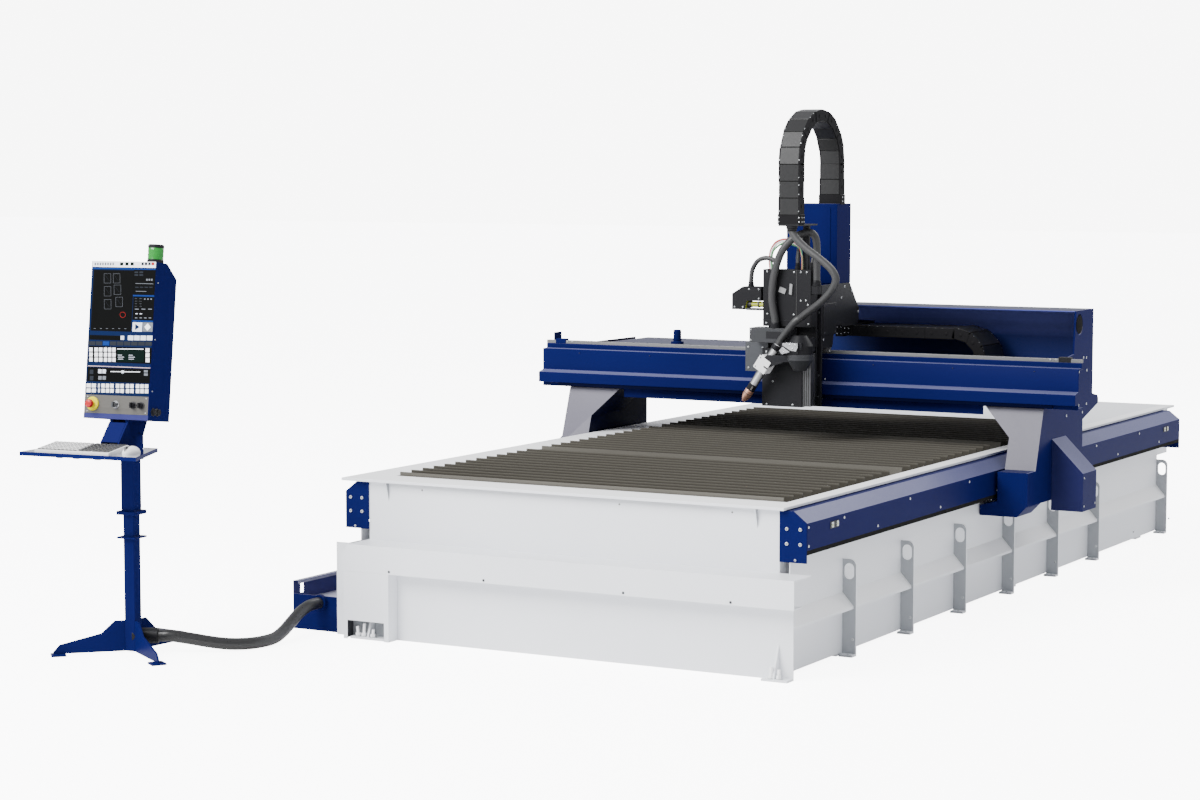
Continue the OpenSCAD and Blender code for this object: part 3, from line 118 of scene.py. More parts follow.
def surface(key, low, high, rough, metal=0.0, grain=200, grain_bump=0.03, broad=2.0, stretch=None,
            coat=0.0, spec=0.5, rough_span=0.08, spots=None, spot_at=(0.62, 0.72), glow=0.0, painted_light_by_height=None,
            painted_edge_reflection=None):
    """A finish with broad colour drift and fine grain, kept in M.

    spots stains it, painted_light_by_height (low, high, tone) paints light and shade as a colour that
    changes with height, and painted_edge_reflection paints a reflection's colour where the surface turns
    away.
    """
    m = bpy.data.materials.new(key)
    m.use_nodes = True
    nt, links = m.node_tree.nodes, m.node_tree.links
    shader = nt["Principled BSDF"]
    coords = nt.new("ShaderNodeTexCoord").outputs["Object"]
    drift = noise(nt, links, coords, broad, 3.0)
    fine = noise(nt, links, coords, grain, 6.0, stretch)
    blend = nt.new("ShaderNodeMath")
    blend.operation = "MULTIPLY_ADD"
    blend.inputs[1].default_value = 0.35
    links.new(fine, blend.inputs[0])
    links.new(ramp(nt, links, drift, 0.3, 0.7, 0.0, 0.65), blend.inputs[2])
    colour = mixed(nt, links, blend.outputs[0], low, high)
    if spots:
        patch = noise(nt, links, coords, broad * 3.7, 8.0)
        colour = mixed(nt, links, ramp(nt, links, patch, *spot_at), colour, spots)
    if painted_light_by_height:
        z_low, z_high, tone = painted_light_by_height
        axes = nt.new("ShaderNodeSeparateXYZ")
        links.new(coords, axes.inputs["Vector"])
        colour = mixed(nt, links, ramp(nt, links, axes.outputs["Z"], z_low, z_high), colour, tone)
    if painted_edge_reflection:
        facing = nt.new("ShaderNodeLayerWeight").outputs["Facing"]
        colour = mixed(nt, links, ramp(nt, links, facing, edge_reflection_from, edge_reflection_to), colour, painted_edge_reflection)
    links.new(colour, shader.inputs["Base Color"])
    gloss = ramp(nt, links, fine, 0.3, 0.7, max(rough - rough_span, 0.02), rough + rough_span)
    links.new(gloss, shader.inputs["Roughness"])
    shader.inputs["Metallic"].default_value = metal
    shader.inputs["Specular IOR Level"].default_value = spec
    if coat:
        shader.inputs["Coat Weight"].default_value = coat
        shader.inputs["Coat Roughness"].default_value = 0.12
    if glow:
        links.new(colour, shader.inputs["Emission Color"])
        shader.inputs["Emission Strength"].default_value = glow
    bump = nt.new("ShaderNodeBump")
    bump.inputs["Strength"].default_value = grain_bump
    bump.inputs["Distance"].default_value = grain_depth
    links.new(fine, bump.inputs["Height"])
    links.new(bump.outputs["Normal"], shader.inputs["Normal"])
    M[key] = m
    return m


def screen_tint(key, r, g, b, glow=0.3):
    """A plain lit colour of the screen picture."""
    low = (r * 0.9, g * 0.9, b * 0.9)
    surface(key, low, (r, g, b), 0.35, grain=900, grain_bump=0.01, broad=12, glow=glow, spec=0.04)


# Settings that several finishes share
blue_paint = {"grain": 160, "grain_bump": 0.005}
pale_paint = {"grain": 150, "grain_bump": 0.005}
white_paint = {"grain": 180, "grain_bump": 0.006}
slat_metal = {"metal": 0.1, "grain": 30, "stretch": (0.35, 4, 6), "grain_bump": 0.05, "broad": 0.9}

# Painted sheet, and lit, shaded and reflecting copies of its paint as painted light, shade and reflection
surface("blue", (0.0036, 0.0058, 0.058), (0.0046, 0.0071, 0.068), 0.30, spec=0.012, rough_span=0.03,
        **blue_paint)
# Painted light: a lighter blue for the lit front faces inside the chain tray, lighter still towards the top
surface("blue_lit", (0.010, 0.015, 0.080), (0.012, 0.018, 0.095), 0.32, spec=0.05,
        painted_light_by_height=(1.17, 1.25, (0.080, 0.094, 0.330)), **blue_paint)
# Painted shade: a near-black blue for the gantry legs' inside faces and the lower rail under the flange
surface("painted_shade_blue", (0.0011, 0.0016, 0.0125), (0.0015, 0.0021, 0.0160), 0.34, spec=0.02, **blue_paint)
# Painted reflection, dim: for the chain tray's upward faces
surface("painted_dim_sheen", (0.021, 0.022, 0.054), (0.028, 0.029, 0.068), 0.36, spec=0.05, **pale_paint)
# Painted reflection: a mid lilac-blue for the trough's far inner wall and the console head's lip
surface("painted_mid_sheen", (0.030, 0.032, 0.125), (0.040, 0.042, 0.150), 0.36, spec=0.05, **pale_paint)
# Painted reflection: a light tint for the cable trough's upward faces and the band along its lip
surface("painted_bright_sheen", (0.17, 0.17, 0.25), (0.21, 0.21, 0.30), 0.36, spec=0.1, **pale_paint)
surface("gloss", (0.0036, 0.0058, 0.058), (0.0046, 0.0071, 0.068), 0.07, grain=160, grain_bump=0.002,
        spec=0.9, coat=1.0, rough_span=0.02)
# Painted reflection: the blue made lighter for upward and sloping faces of covers, beam, legs and tower
surface("painted_sheen", (0.090, 0.095, 0.195), (0.115, 0.120, 0.235), 0.36, spec=0.1, **pale_paint)
# Painted glare: a light grey-lilac for the gantry legs' slanted front faces
surface("painted_glare", (0.118, 0.114, 0.142), (0.148, 0.143, 0.175), 0.4, spec=0.2, **pale_paint)
# Painted light: a brighter white for upward and sloping faces of flanges and ribs; the studs use it as their
# white
surface("rim", (0.93, 0.935, 0.95), (0.95, 0.955, 0.965), 0.40, spec=0.25, **white_paint)
surface("white", (0.78, 0.795, 0.83), (0.82, 0.835, 0.865), 0.40, spec=0.25, **white_paint)

# Covers, steel and slats, with painted light, shade and reflection on sheets, slats and the torch
surface("black", (0.0065, 0.0065, 0.008), (0.013, 0.013, 0.015), 0.46, grain=220, spec=0.15)
surface("charcoal", (0.009, 0.009, 0.011), (0.016, 0.016, 0.019), 0.42, grain=140, spec=0.2)
surface("steel", (0.13, 0.13, 0.133), (0.19, 0.19, 0.193), 0.38, metal=0.6, grain=90,
        stretch=(0.15, 1, 8), grain_bump=0.04)
surface("dull_steel", (0.16, 0.16, 0.165), (0.24, 0.24, 0.245), 0.55, metal=0.7, grain=60, grain_bump=0.1,
        spots=(0.10, 0.07, 0.05))
# Slat faces lighter along their top 8 mm: a rubbed top, with painted shade on the darker face below
surface("slat", (0.036, 0.0328, 0.0258), (0.047, 0.0428, 0.0340), 0.55, spec=0.2,
        painted_light_by_height=(0.674, 0.682, (0.092, 0.0855, 0.0710)), **slat_metal)
surface("slat_top", (0.031, 0.028, 0.0225), (0.042, 0.038, 0.031), 0.6, spec=0.15, **slat_metal)
# Painted light: lighter front faces for the first slat of each rack, which nothing shades
surface("slat_painted_lit", (0.100, 0.094, 0.080), (0.125, 0.118, 0.101), 0.5, spec=0.2, **slat_metal)
surface("shade", (0.315, 0.33, 0.35), (0.36, 0.375, 0.395), 0.45, spec=0.2, **white_paint)
# Painted reflection: a light lavender for the plate in the trough's floor
surface("painted_pale_sheen", (0.42, 0.42, 0.52), (0.52, 0.52, 0.62), 0.4, grain=150, grain_bump=0.006, spec=0.2)
# Painted reflection, faint: a greyer blue for the truck guards' and drive covers' front faces
surface("painted_faint_sheen", (0.011, 0.013, 0.062), (0.016, 0.018, 0.078), 0.36, grain=150, grain_bump=0.006,
        spec=0.08)
# Painted reflection of chrome: bright, and dark where the tube turns away
surface("torch", (0.90, 0.90, 0.91), (0.96, 0.96, 0.965), 0.16, metal=0.5, grain=60, grain_bump=0.01,
        painted_edge_reflection=(0.10, 0.10, 0.105))
surface("dark_grey", (0.030, 0.031, 0.034), (0.044, 0.046, 0.050), 0.42, metal=0.1, grain=120,
        grain_bump=0.04, spec=0.3)

# Chains, hoses and wires
surface("chain", (0.008, 0.0077, 0.0085), (0.013, 0.0125, 0.0138), 0.5, grain=240, grain_bump=0.05,
        spec=0.04)
surface("chain_lid", (0.012, 0.012, 0.0125), (0.021, 0.021, 0.0215), 0.36, spec=0.25)
surface("rubber", (0.024, 0.024, 0.025), (0.038, 0.038, 0.039), 0.46, grain=260, grain_bump=0.1)
surface("black_rubber", (0.012, 0.012, 0.012), (0.02, 0.02, 0.02), 0.5, grain=260, grain_bump=0.1)
surface("conduit", (0.009, 0.009, 0.0093), (0.014, 0.014, 0.0144), 0.34, grain=120, grain_bump=0.1)
surface("extrusion", (0.13, 0.132, 0.138), (0.19, 0.192, 0.198), 0.36, metal=0.8, grain=110,
        stretch=(8, 8, 0.2), grain_bump=0.04)

# Console, torch head and small parts
surface("silver", (0.075, 0.0715, 0.064), (0.098, 0.0935, 0.085), 0.45, metal=0.2, grain=150,
        stretch=(0.2, 6, 6), grain_bump=0.04)
surface("chrome", (0.58, 0.585, 0.60), (0.70, 0.705, 0.715), 0.14, metal=1.0, grain=40, grain_bump=0.01,
        rough_span=0.05)
# Painted light: the torch holder's white block glows a little
surface("clamp_painted_glow", (0.93, 0.93, 0.935), (0.96, 0.96, 0.965), 0.3, grain=140, glow=0.12)
surface("grey", (0.045, 0.048, 0.054), (0.068, 0.072, 0.08), 0.42, metal=0.3, grain=120, grain_bump=0.08)
surface("copper", (0.62, 0.30, 0.20), (0.75, 0.42, 0.30), 0.34, metal=0.8, grain=90, grain_bump=0.05,
        spots=(0.25, 0.12, 0.09), spot_at=(0.66, 0.8))
surface("red", (0.36, 0.004, 0.006), (0.46, 0.008, 0.010), 0.3, grain_bump=0.02)
surface("yellow", (0.64, 0.56, 0.001), (0.72, 0.63, 0.002), 0.4, grain_bump=0.02, spec=0.1)
surface("lime", (0.36, 0.40, 0.02), (0.50, 0.54, 0.05), 0.35, grain=150)
surface("green", (0.004, 0.165, 0.014), (0.009, 0.215, 0.022), 0.2, grain=90, grain_bump=0.02, coat=0.1,
        glow=0.1)
surface("keys_white", (0.72, 0.72, 0.715), (0.80, 0.80, 0.795), 0.45, grain=300)
surface("keys_grey", (0.22, 0.22, 0.225), (0.30, 0.30, 0.305), 0.45, grain=300)
surface("keys_dark", (0.02, 0.02, 0.021), (0.03, 0.03, 0.032), 0.45, grain=300, grain_bump=0.05)
surface("brush", (0.006, 0.006, 0.006), (0.012, 0.012, 0.012), 0.85, grain=500, stretch=(1, 1, 0.1),
        grain_bump=0.3, spec=0.05)
surface("zinc", (0.50, 0.52, 0.53), (0.64, 0.66, 0.67), 0.3, metal=0.7, grain=150, grain_bump=0.04)
surface("socket", (0.03, 0.03, 0.03), (0.06, 0.06, 0.06), 0.6, metal=0.5, grain_bump=0.04)
surface("wire_red", (0.40, 0.03, 0.03), (0.52, 0.05, 0.05), 0.45)
surface("wire_green", (0.06, 0.22, 0.08), (0.10, 0.30, 0.12), 0.45)

# Screen
screen_tint("ui_ground", 0.004, 0.010, 0.042, 0.15)
screen_tint("ui_dark", 0.0028, 0.0030, 0.0030, 0.02)
screen_tint("ui_panel", 0.018, 0.021, 0.027, 0.2)
screen_tint("ui_grey", 0.13, 0.14, 0.16)
screen_tint("ui_light", 0.62, 0.66, 0.74)
screen_tint("ui_white", 0.86, 0.87, 0.90)
screen_tint("ui_bright", 0.006, 0.028, 0.15)
screen_tint("ui_green", 0.0016, 0.0065, 0.0050)
screen_tint("ui_red", 0.30, 0.02, 0.02)
screen_tint("ui_rose", 0.52, 0.40, 0.42)


# Pieces
def finish_mesh(mesh):
    mesh.shade_smooth()
    mesh.set_sharp_from_angle(angle=math.radians(32))


def put(name, mesh, keys, body):
    obj = bpy.data.objects.new(name, mesh)
    collection.objects.link(obj)
    for key in keys:
        mesh.materials.append(M[key])
    if body:
        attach(obj, body)
    return obj


def bevelled(obj, width):
    mod = obj.modifiers.new("edges", "BEVEL")
    mod.width = width * MM
    mod.segments = 2
    mod.limit_method = "ANGLE"
    mod.angle_limit = math.radians(35)
    mod.harden_normals = True


def skin(name, material, width=2.0, tints=()):
    """The CAD solid's own shape with rounded edges, standing for the node.

    tints are (finish, rule) pairs that give some faces a second finish, many of them painted light, shade and
    reflection; a rule takes a face's normal and its centre in millimetres, and the last rule that holds wins.
    """
    mesh = nodes[name].data.copy()
    mesh.materials.clear()
    bm = bmesh.new()
    bm.from_mesh(mesh)
    bmesh.ops.remove_doubles(bm, verts=bm.verts, dist=1e-6)
    bmesh.ops.dissolve_limit(bm, angle_limit=math.radians(0.5), verts=bm.verts, edges=bm.edges)
    bm.to_mesh(mesh)
    bm.free()
    finish_mesh(mesh)
    obj = put(name + "_skin", mesh, [material] + [key for key, _ in tints], node_body[name])
    for poly in mesh.polygons:
        for i, (_, rule) in enumerate(tints):
            if rule(poly.normal, poly.center / MM):
                poly.material_index = i + 1
    bevelled(obj, width)
    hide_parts(name)


def paint(name, key):
    """A CAD node that stays as it is, with its finish."""
    mesh = nodes[name].data
    mesh.materials.clear()
    mesh.materials.append(M[key])


def spline(points, steps=6):
    out = []
    last = len(points) - 1
    for i in range(last):
        a, b = Vector(points[max(i - 1, 0)]), Vector(points[i])
        c, d = Vector(points[i + 1]), Vector(points[min(i + 2, last)])
        for j in range(steps):
            t = j / steps
            out.append(0.5 * (2 * b + (c - a) * t + (2 * a - 5 * b + 4 * c - d) * t * t
                              + (3 * b - a - 3 * c + d) * t ** 3))
    return out + [Vector(points[-1])]


def ring_faces(rings, sides):
    """Quads that join rings of points, one ring to the next."""
    faces = []
    for k in range(rings - 1):
        for i in range(sides):
            j = (i + 1) % sides
            faces.append([k * sides + i, k * sides + j, (k + 1) * sides + j, (k + 1) * sides + i])
    return faces


def end_faces(rings, sides):
    return [list(range(sides))[::-1], [(rings - 1) * sides + i for i in range(sides)]]


def circle(sides):
    """Cosine and sine of each point round a circle."""
    turns = [2 * math.pi * i / sides for i in range(sides)]
    return [(math.cos(a), math.sin(a)) for a in turns]


class Kit:
    """Collects many shapes, in millimetres, into one mesh."""

    def __init__(self, matrix=None):
        self.bm = bmesh.new()
        self.keys = []
        self.matrix = matrix or Matrix.Identity(4)

    def add(self, points, faces, key, at=None):
        if key not in self.keys:
            self.keys.append(key)
        place = self.matrix @ at if at else self.matrix
        verts = [self.bm.verts.new((place @ Vector(p)) * MM) for p in points]
        for f in faces:
            self.bm.faces.new([verts[i] for i in f]).material_index = self.keys.index(key)

    def box(self, x, y, z, key, at=None, chamfer=0.0):
        if chamfer:
            c = chamfer
            x0, x1, y0, y1, z0, z1 = *x, *y, *z
            ring = [(x0 + c, y0), (x1 - c, y0), (x1, y0 + c), (x1, y1 - c),
                    (x1 - c, y1), (x0 + c, y1), (x0, y1 - c), (x0, y0 + c)]
            inner = [(x0 + c, y0 + c), (x1 - c, y0 + c), (x1 - c, y0 + c), (x1 - c, y1 - c),
                     (x1 - c, y1 - c), (x0 + c, y1 - c), (x0 + c, y1 - c), (x0 + c, y0 + c)]
            levels = ((inner, z0), (ring, z0 + c), (ring, z1 - c), (inner, z1))
            points = [(*p, h) for outline, h in levels for p in outline]
            faces = ring_faces(4, 8) + end_faces(4, 8)
            self.add(points, faces, key, at)
            return
        points = [(a, b, c) for c in z for b in y for a in x]
        faces = [[0, 2, 3, 1], [4, 5, 7, 6], [0, 1, 5, 4], [2, 6, 7, 3], [0, 4, 6, 2], [1, 3, 7, 5]]
        self.add(points, faces, key, at)

    def prism(self, axis, span, outline, key, at=None):
        n = len(outline)
        place = "xyz".index(axis)
        points = [(*p[:place], s, *p[place:]) for s in span for p in outline]
        self.add(points, end_faces(2, n) + ring_faces(2, n), key, at)

    def lathe(self, at, axis, profile, key, sides):
        """Rings of (radius, height along axis) from the point at."""
        z = Vector(axis).normalized()
        x = z.orthogonal().normalized()
        y = z.cross(x)
        start, rings = Vector(at), len(profile)
        points = [start + z * h + r * (c * x + s * y) for r, h in profile for c, s in circle(sides)]
        self.add(points, ring_faces(rings, sides) + end_faces(rings, sides), key)

    def screw(self, at, axis, r, h, key="zinc", dark="socket"):
        """A button head with a hexagon socket."""
        self.lathe(at, axis, [(r, 0), (r, 0.35 * h), (0.86 * r, 0.8 * h), (0.55 * r, h)], key, 18)
        self.lathe(Vector(at) + Vector(axis).normalized() * 0.9 * h, axis,
                   [(0.46 * r, 0), (0.46 * r, 0.14 * h)], dark, 6)

    def front_screws(self, y, places, r, h, key="zinc"):
        """Screws at (x, z) places on a face at y that looks to the front."""
        for x, z in places:
            self.screw((x, y, z), FRONT, r, h, key)

    def tube(self, route, r, key, sides):
        pts = [Vector(p) for p in route]
        t0 = (pts[1] - pts[0]).normalized()
        u = t0.orthogonal().normalized()
        points = []
        for i, p in enumerate(pts):
            t = (pts[min(i + 1, len(pts) - 1)] - pts[max(i - 1, 0)]).normalized()
            u = (u - t * u.dot(t)).normalized()
            v = t.cross(u)
            points += [p + r * (c * u + s * v) for c, s in circle(sides)]
        self.add(points, ring_faces(len(pts), sides) + end_faces(len(pts), sides), key)

    def dome(self, at, rx, ry, rz, key, rings, sides):
        points = []
        for i in range(rings):
            a = 0.5 * math.pi * i / rings
            wide, high = math.cos(a), at[2] + rz * math.sin(a)
            points += [(at[0] + rx * wide * c, at[1] + ry * wide * s, high) for c, s in circle(sides)]
        points.append((at[0], at[1], at[2] + rz))
        faces = ring_faces(rings, sides)
        last = (rings - 1) * sides
        faces += [[last + k, last + (k + 1) % sides, len(points) - 1] for k in range(sides)]
        faces.append(list(range(sides))[::-1])
        self.add(points, faces, key)

    def build(self, name, body, bevel=0.0, stands_for=()):
        mesh = bpy.data.meshes.new(name)
        bmesh.ops.recalc_face_normals(self.bm, faces=self.bm.faces)
        self.bm.to_mesh(mesh)
        self.bm.free()
        finish_mesh(mesh)
        obj = put(name, mesh, self.keys, body)
        if bevel:
            bevelled(obj, bevel)
        if stands_for:
            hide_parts(*stands_for)
        return obj


# Conduit between the console and the trough
console_turn = math.radians(5.7)
head_lean = math.radians(7.2)
console_at = Vector((-1565, -3360, 0))
console_m = Matrix.Translation(console_at) @ Matrix.Rotation(console_turn, 4, "Z")
head_m = console_m @ Matrix.Translation((-12, -87, 972)) @ Matrix.Rotation(-head_lean, 4, "X")
gland_turn = math.radians(26.4)
out_dir = Vector((math.cos(gland_turn), math.sin(gland_turn), 0))
gland_height = 71
gland_reach = 106
conduit_start = console_at + Vector((0, 0, gland_height)) + gland_reach * out_dir
trough_mouth = Vector((-1177, -2570, 0))
conduit_sag = [(-183, -678, 58), (-113, -630, 42), (-58, -580, 31), (-15, -520, 26), (10, -450, 25),
               (19, -370, 29), (14, -300, 46), (5, -230, 73), (-1, -160, 103), (0, -105, 121),
               (0, -62, 125), (0, -31, 125), (0, 0, 125)]
conduit_route = spline([conduit_start, conduit_start + 22 * out_dir, conduit_start + 50 * out_dir]
                       + [trough_mouth + Vector(q) for q in conduit_sag])
kit = Kit()
kit.tube(conduit_route, 25, "conduit", 28)
conduit = kit.build("conduit_hose", "table", stands_for=("conduit",))

# Node skins, with the rules that pick faces for another finish, much of it painted light, shade and
# reflection
head_inv = head_m.inverted()
first_slats_y = (-2351, -1143, 65)


def up(n, c):
    return n.z > 0.3


def slope(n, c):
    return 0.3 < n.z < 0.97


def front(n, c):
    return n.y < -0.5


def leg_slant(n, c):
    return n.y < -0.5 and n.z > 0.2


def leg_inside(n, c):
    return c.x < 0 and n.x > 0.3


def rib_face(n, c):
    return n.y < -0.9


def flange_end(n, c):
    return abs(n.x) > 0.9 and c.y < -2490 and c.z < 655


def trough_top(n, c):
    return n.z > 0.9


def trough_wall(n, c):
    return n.x > 0.9 and c.x < -1300


def guard(n, c):
    return n.y < -0.5 and c.z < 471


def first_slat(n, c):
    return n.y < -0.9 and min(abs(c.y - y) for y in first_slats_y) < 12


def probe(n, c):
    return c.z < 1349 and c.x > -194


def on_ring(n, c):
    q = head_inv @ c
    return math.hypot(q.x + 113, q.z - 60) < 28 and q.y < -0.5


def on_lip(n, c):
    q = head_inv @ c
    return q.z < 22.5 and q.y < 1


def lens(n, c):
    q = head_inv @ c
    return 659 < q.z < 703 and math.hypot(q.x - 122, q.y - 42) > 20


skin("front_panel", "white")
skin("front_apron", "white", 3)
skin("leg_cover", "white")
skin("side_walls", "white")
# Painted shade on the ribs' front faces, painted light on their sloping faces
skin("side_ribs", "white", 1.5, (("shade", rib_face), ("rim", slope)))
skin("tub_walls", "white")
# Painted light on the flanges' upward faces, painted shade on their ends by the front
skin("rim_flanges", "white", 2, (("rim", up), ("shade", flange_end)))
skin("rear_deck", "white")
skin("base_frame", "white")
skin("rail_beams", "white")
# Painted reflection on the covers' sloping faces
skin("rail_covers", "blue", 1, (("painted_sheen", slope),))
skin("rail_end_plates", "blue", 1.5)
# Painted reflection on the trough's upward faces and on its far inner wall
skin("cable_trough", "blue", 1, (("painted_bright_sheen", trough_top), ("painted_mid_sheen", trough_wall)))
skin("console_base", "blue", 1.5)
skin("console_lower_post", "blue", 3)
skin("console_upper_post", "blue", 3)
# Painted reflection on the lip at the foot of the head
skin("console_housing", "blue", 1, (("painted_mid_sheen", on_lip),))
# Painted reflection on upward faces of beam, legs and tower and on the drive covers' slopes; painted glare on
# the legs' slanted fronts; painted shade on their insides; a faint painted reflection on truck guards and
# drive cover fronts; painted light on the chain tray's inside front faces and a dim painted reflection on its
# tops
skin("gantry_beam", "blue", 2.5, (("painted_sheen", up),))
skin("gantry_legs", "blue", 2.5, (("painted_sheen", up), ("painted_shade_blue", leg_inside), ("painted_glare", leg_slant)))
skin("gantry_trucks", "blue", 2, (("painted_faint_sheen", guard),))
skin("drive_covers", "blue", 1.5, (("painted_sheen", slope), ("painted_faint_sheen", front)))
skin("chain_tray", "blue", 2, (("painted_dim_sheen", up), ("blue_lit", front)))
skin("tower", "blue", 1.5, (("painted_sheen", up),))
skin("carriage_plate", "charcoal")
skin("z_ram", "black")
skin("z_box", "black", 2, (("dark_grey", lambda n, c: c.z < 1230),))
skin("sensor_box", "black", 2, (("lime", probe),))
skin("beam_stops", "black", 2, (("blue", lambda n, c: c.x < 0),))
skin("x_drive", "black")
skin("drive_motors", "black")
# Painted light on the front faces of each rack's first slat; the upward faces take a darker copy
skin("slats", "slat", 0.4, (("slat_painted_lit", first_slat), ("slat_top", up)))
# The lower rail, under the flange, in painted shade
skin("x_rails", "steel", 1.5, (("painted_shade_blue", lambda n, c: c.z < 950),))
skin("y_rails", "steel", 1.5)
skin("carriage_guides", "steel", 1.5)
skin("y_bearings", "dull_steel", 1.5)
skin("ram_core", "charcoal", 1.5, (("grey", lambda n, c: c.x < -101),
                                   ("extrusion", lambda n, c: c.x > 108.5)))
skin("bevel_housing", "black", 1.5)
skin("bevel_arm", "charcoal", 1.5, (("dark_grey", lambda n, c: c.x > 62),))
# Painted light: the torch holder's white block glows a little
skin("torch_clamp", "clamp_painted_glow")
skin("torch_body", "torch", 1)
skin("torch_nozzle", "copper", 1)
skin("control_plate", "silver", 0.6, (("yellow", on_ring),))
skin("stack_light", "black", 1.5, (("green", lens),))
skin("key_switch", "grey", 0.8)
skin("selector_left", "black", 1)
skin("selector_right", "black", 1)
skin("console_screen", "black", 1)
skin("conduit_glands", "black", 2, (("blue", lambda n, c: c.y > -2650),))
paint("drop_pan", "dull_steel")
paint("slat_racks", "dull_steel")


# Energy chains
def chain(name, plane, centre, r_in, along, out, fixed, moving, width, pitch):
    """Three meshes of links: the run on the fixed end, the bend, and the run on the moving end."""
    thick = 53
    bend_middle = 26
    end_length = 44
    i, j = "xyz".index(plane[0]), "xyz".index(plane[1])
    k = 3 - i - j

    def lift(p):
        v = Vector((0, 0, 0))
        v[i], v[j] = p
        return v

    e, f, c = lift(along), lift(out), lift(centre)
    w = Vector((0, 0, 0))
    w[k] = 1
    wide = width[1] - width[0]
    bolt = [(3.2, 0), (3.2, 2), (2, 2.6)]

    def place(p, t, n):
        m = Matrix((t, n, w)).transposed().to_4x4()
        m.translation = p + w * width[0]
        return m

    def link(kit, p, t, n, size, odd, inner=1.0, outer=1.0):
        m = place(p, t, n)
        half = size / 2
        inset = 2 if odd else 0
        b0, b1, a = 0.8, thick - 0.8, half * 1.1
        side = [(-a, b0 + 4), (-a + 4, b0), (a - 4, b0), (a, b0 + 4),
                (a, b1 - 4), (a - 4, b1), (-a + 4, b1), (-a, b1 - 4)]
        for lo in (inset, wide - 7 - inset):
            kit.prism("z", (lo, lo + 7), side, "chain", m)
        lid = 0.97 * half
        kit.box((-lid * outer, lid * outer), (thick - 4.5, thick), (7, wide - 7), "chain_lid", m, 1.2)
        kit.box((-lid * inner, lid * inner), (0, 4.5), (7, wide - 7), "chain_lid", m, 1.2)
        kit.box((-half * 1.08, half * 1.08), (5, thick - 5), (9, wide - 9), "black_rubber", m)
        for q in (5.5, wide - 5.5):
            for s in ((-0.55, 0.55) if odd else (0.55,)):
                kit.lathe(m @ Vector((s * half, thick - 3.2, q)), n, [(2.6, 0), (2.6, 2.6), (1.8, 3.2)],
                          "zinc", 8)
        for q, d in ((inset, -1), (wide - inset, 1)):
            kit.lathe(m @ Vector((0, thick / 2, q)), w * d, [(9, 0), (9, 1.2), (7, 2)], "chain", 14)

    def end(kit, p, t, n, length):
        m = place(p, t, n)
        kit.box((-4, length), (1, thick - 1), (-4, 8), "chain", m, 2)
        kit.box((-4, length), (1, thick - 1), (wide - 8, wide + 4), "chain", m, 2)
        kit.box((0, length), (thick - 6, thick - 1), (6, wide - 6), "chain", m)
        kit.box((0, length), (1, 6), (6, wide - 6), "chain", m)
        for q, d in ((-4, -1), (wide + 4, 1)):
            for a in (0.28, 0.72):
                for b in (0.3, 0.7):
                    kit.lathe(m @ Vector((a * length, b * thick, q)), w * d, bolt, "zinc", 8)
        for q in (3, wide - 3):
            for a in (0.28, 0.72):
                kit.lathe(m @ Vector((a * length, thick - 1, q)), n, bolt, "zinc", 8)

    base = {}
    for part, length in (("fixed", fixed), ("bend", math.pi * (r_in + bend_middle)), ("moving", moving)):
        kit = Kit()
        tail = end_length if part != "bend" else 0
        count = max(1, round((length - tail) / pitch))
        size = (length - tail) / count
        for q in range(count):
            s = (q + 0.5) * size
            if part == "fixed":
                s += tail
                link(kit, c + r_in * f - e * (fixed - s), e, f, size, q % 2)
            elif part == "bend":
                a = math.pi * (q + 0.5) / count
                n = math.cos(a) * f + math.sin(a) * e
                link(kit, c + r_in * n, -math.sin(a) * f + math.cos(a) * e, n, size, (q + 1) % 2,
                     r_in / (r_in + thick / 2), (r_in + thick) / (r_in + thick / 2))
            else:
                link(kit, c - r_in * f - e * s, -e, -f, size, q % 2)
        if part == "fixed":
            end(kit, c + r_in * f - e * fixed, e, f, tail)
        if part == "moving":
            end(kit, c - r_in * f - e * (moving - tail), -e, -f, tail)
        base[part] = kit.build(f"{name}_{part}", None)
    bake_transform(base["fixed"])
    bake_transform(base["bend"])
    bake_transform(base["moving"])
    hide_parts(name)


chain("z_chain", "yz", (-345, 2001), 203, (0, 1), (1, 0), 189, 279, (51, 161), 74)
chain("x_chain", "xz", (676, 1055), 111, (1, 0), (0, -1), 816, 576, (40, 290), 74)
chain("y_chain", "yz", (930, 203), 87, (1, 0), (0, -1), 930, 990, (-1270, -1160), 74)

# Hoses on the ram
hose_r = 18
cable_r = 11
wire_r = 4.6
stub_r = 10
kit = Kit()
# Main hose with a sleeve at each end
hose_route = [(169, -425, 1430), (169, -425, 1452), (169, -425, 1475), (169, -425, 1530), (171, -428, 1600),
              (166, -432, 1655), (141, -440, 1681), (86, -458, 1667), (43, -470, 1633), (14, -476, 1594),
              (-10, -477, 1541), (-28, -477, 1475), (-37, -477, 1415), (-38, -476, 1361), (-32, -473, 1318),
              (-24, -472, 1276), (-22, -472, 1252), (-22, -472, 1240), (-22, -472, 1228)]
kit.tube(spline(hose_route), hose_r, "rubber", 22)
for at in ((169, -425, 1430), (-22, -472, 1228)):
    kit.lathe(at, UP, [(23, 0), (23, 10), (21, 12), (21, 20), (19.5, 26), (18.5, 27)], "black", 24)
# Sensor cable with its sleeves
cable_route = [(-175, -420, 1420), (-175, -420, 1436), (-175, -420, 1452), (-168, -420, 1500),
               (-142, -420, 1540), (-105, -420, 1556), (-66, -420, 1552), (-45, -420, 1535),
               (-45, -420, 1520), (-45, -420, 1505)]
kit.tube(spline(cable_route), cable_r, "rubber", 16)
for at in ((-175, -420, 1420), (-45, -420, 1505)):
    kit.lathe(at, UP, [(15, 0), (15, 8), (13, 10), (13, 18), (11.5, 22)], "black", 18)
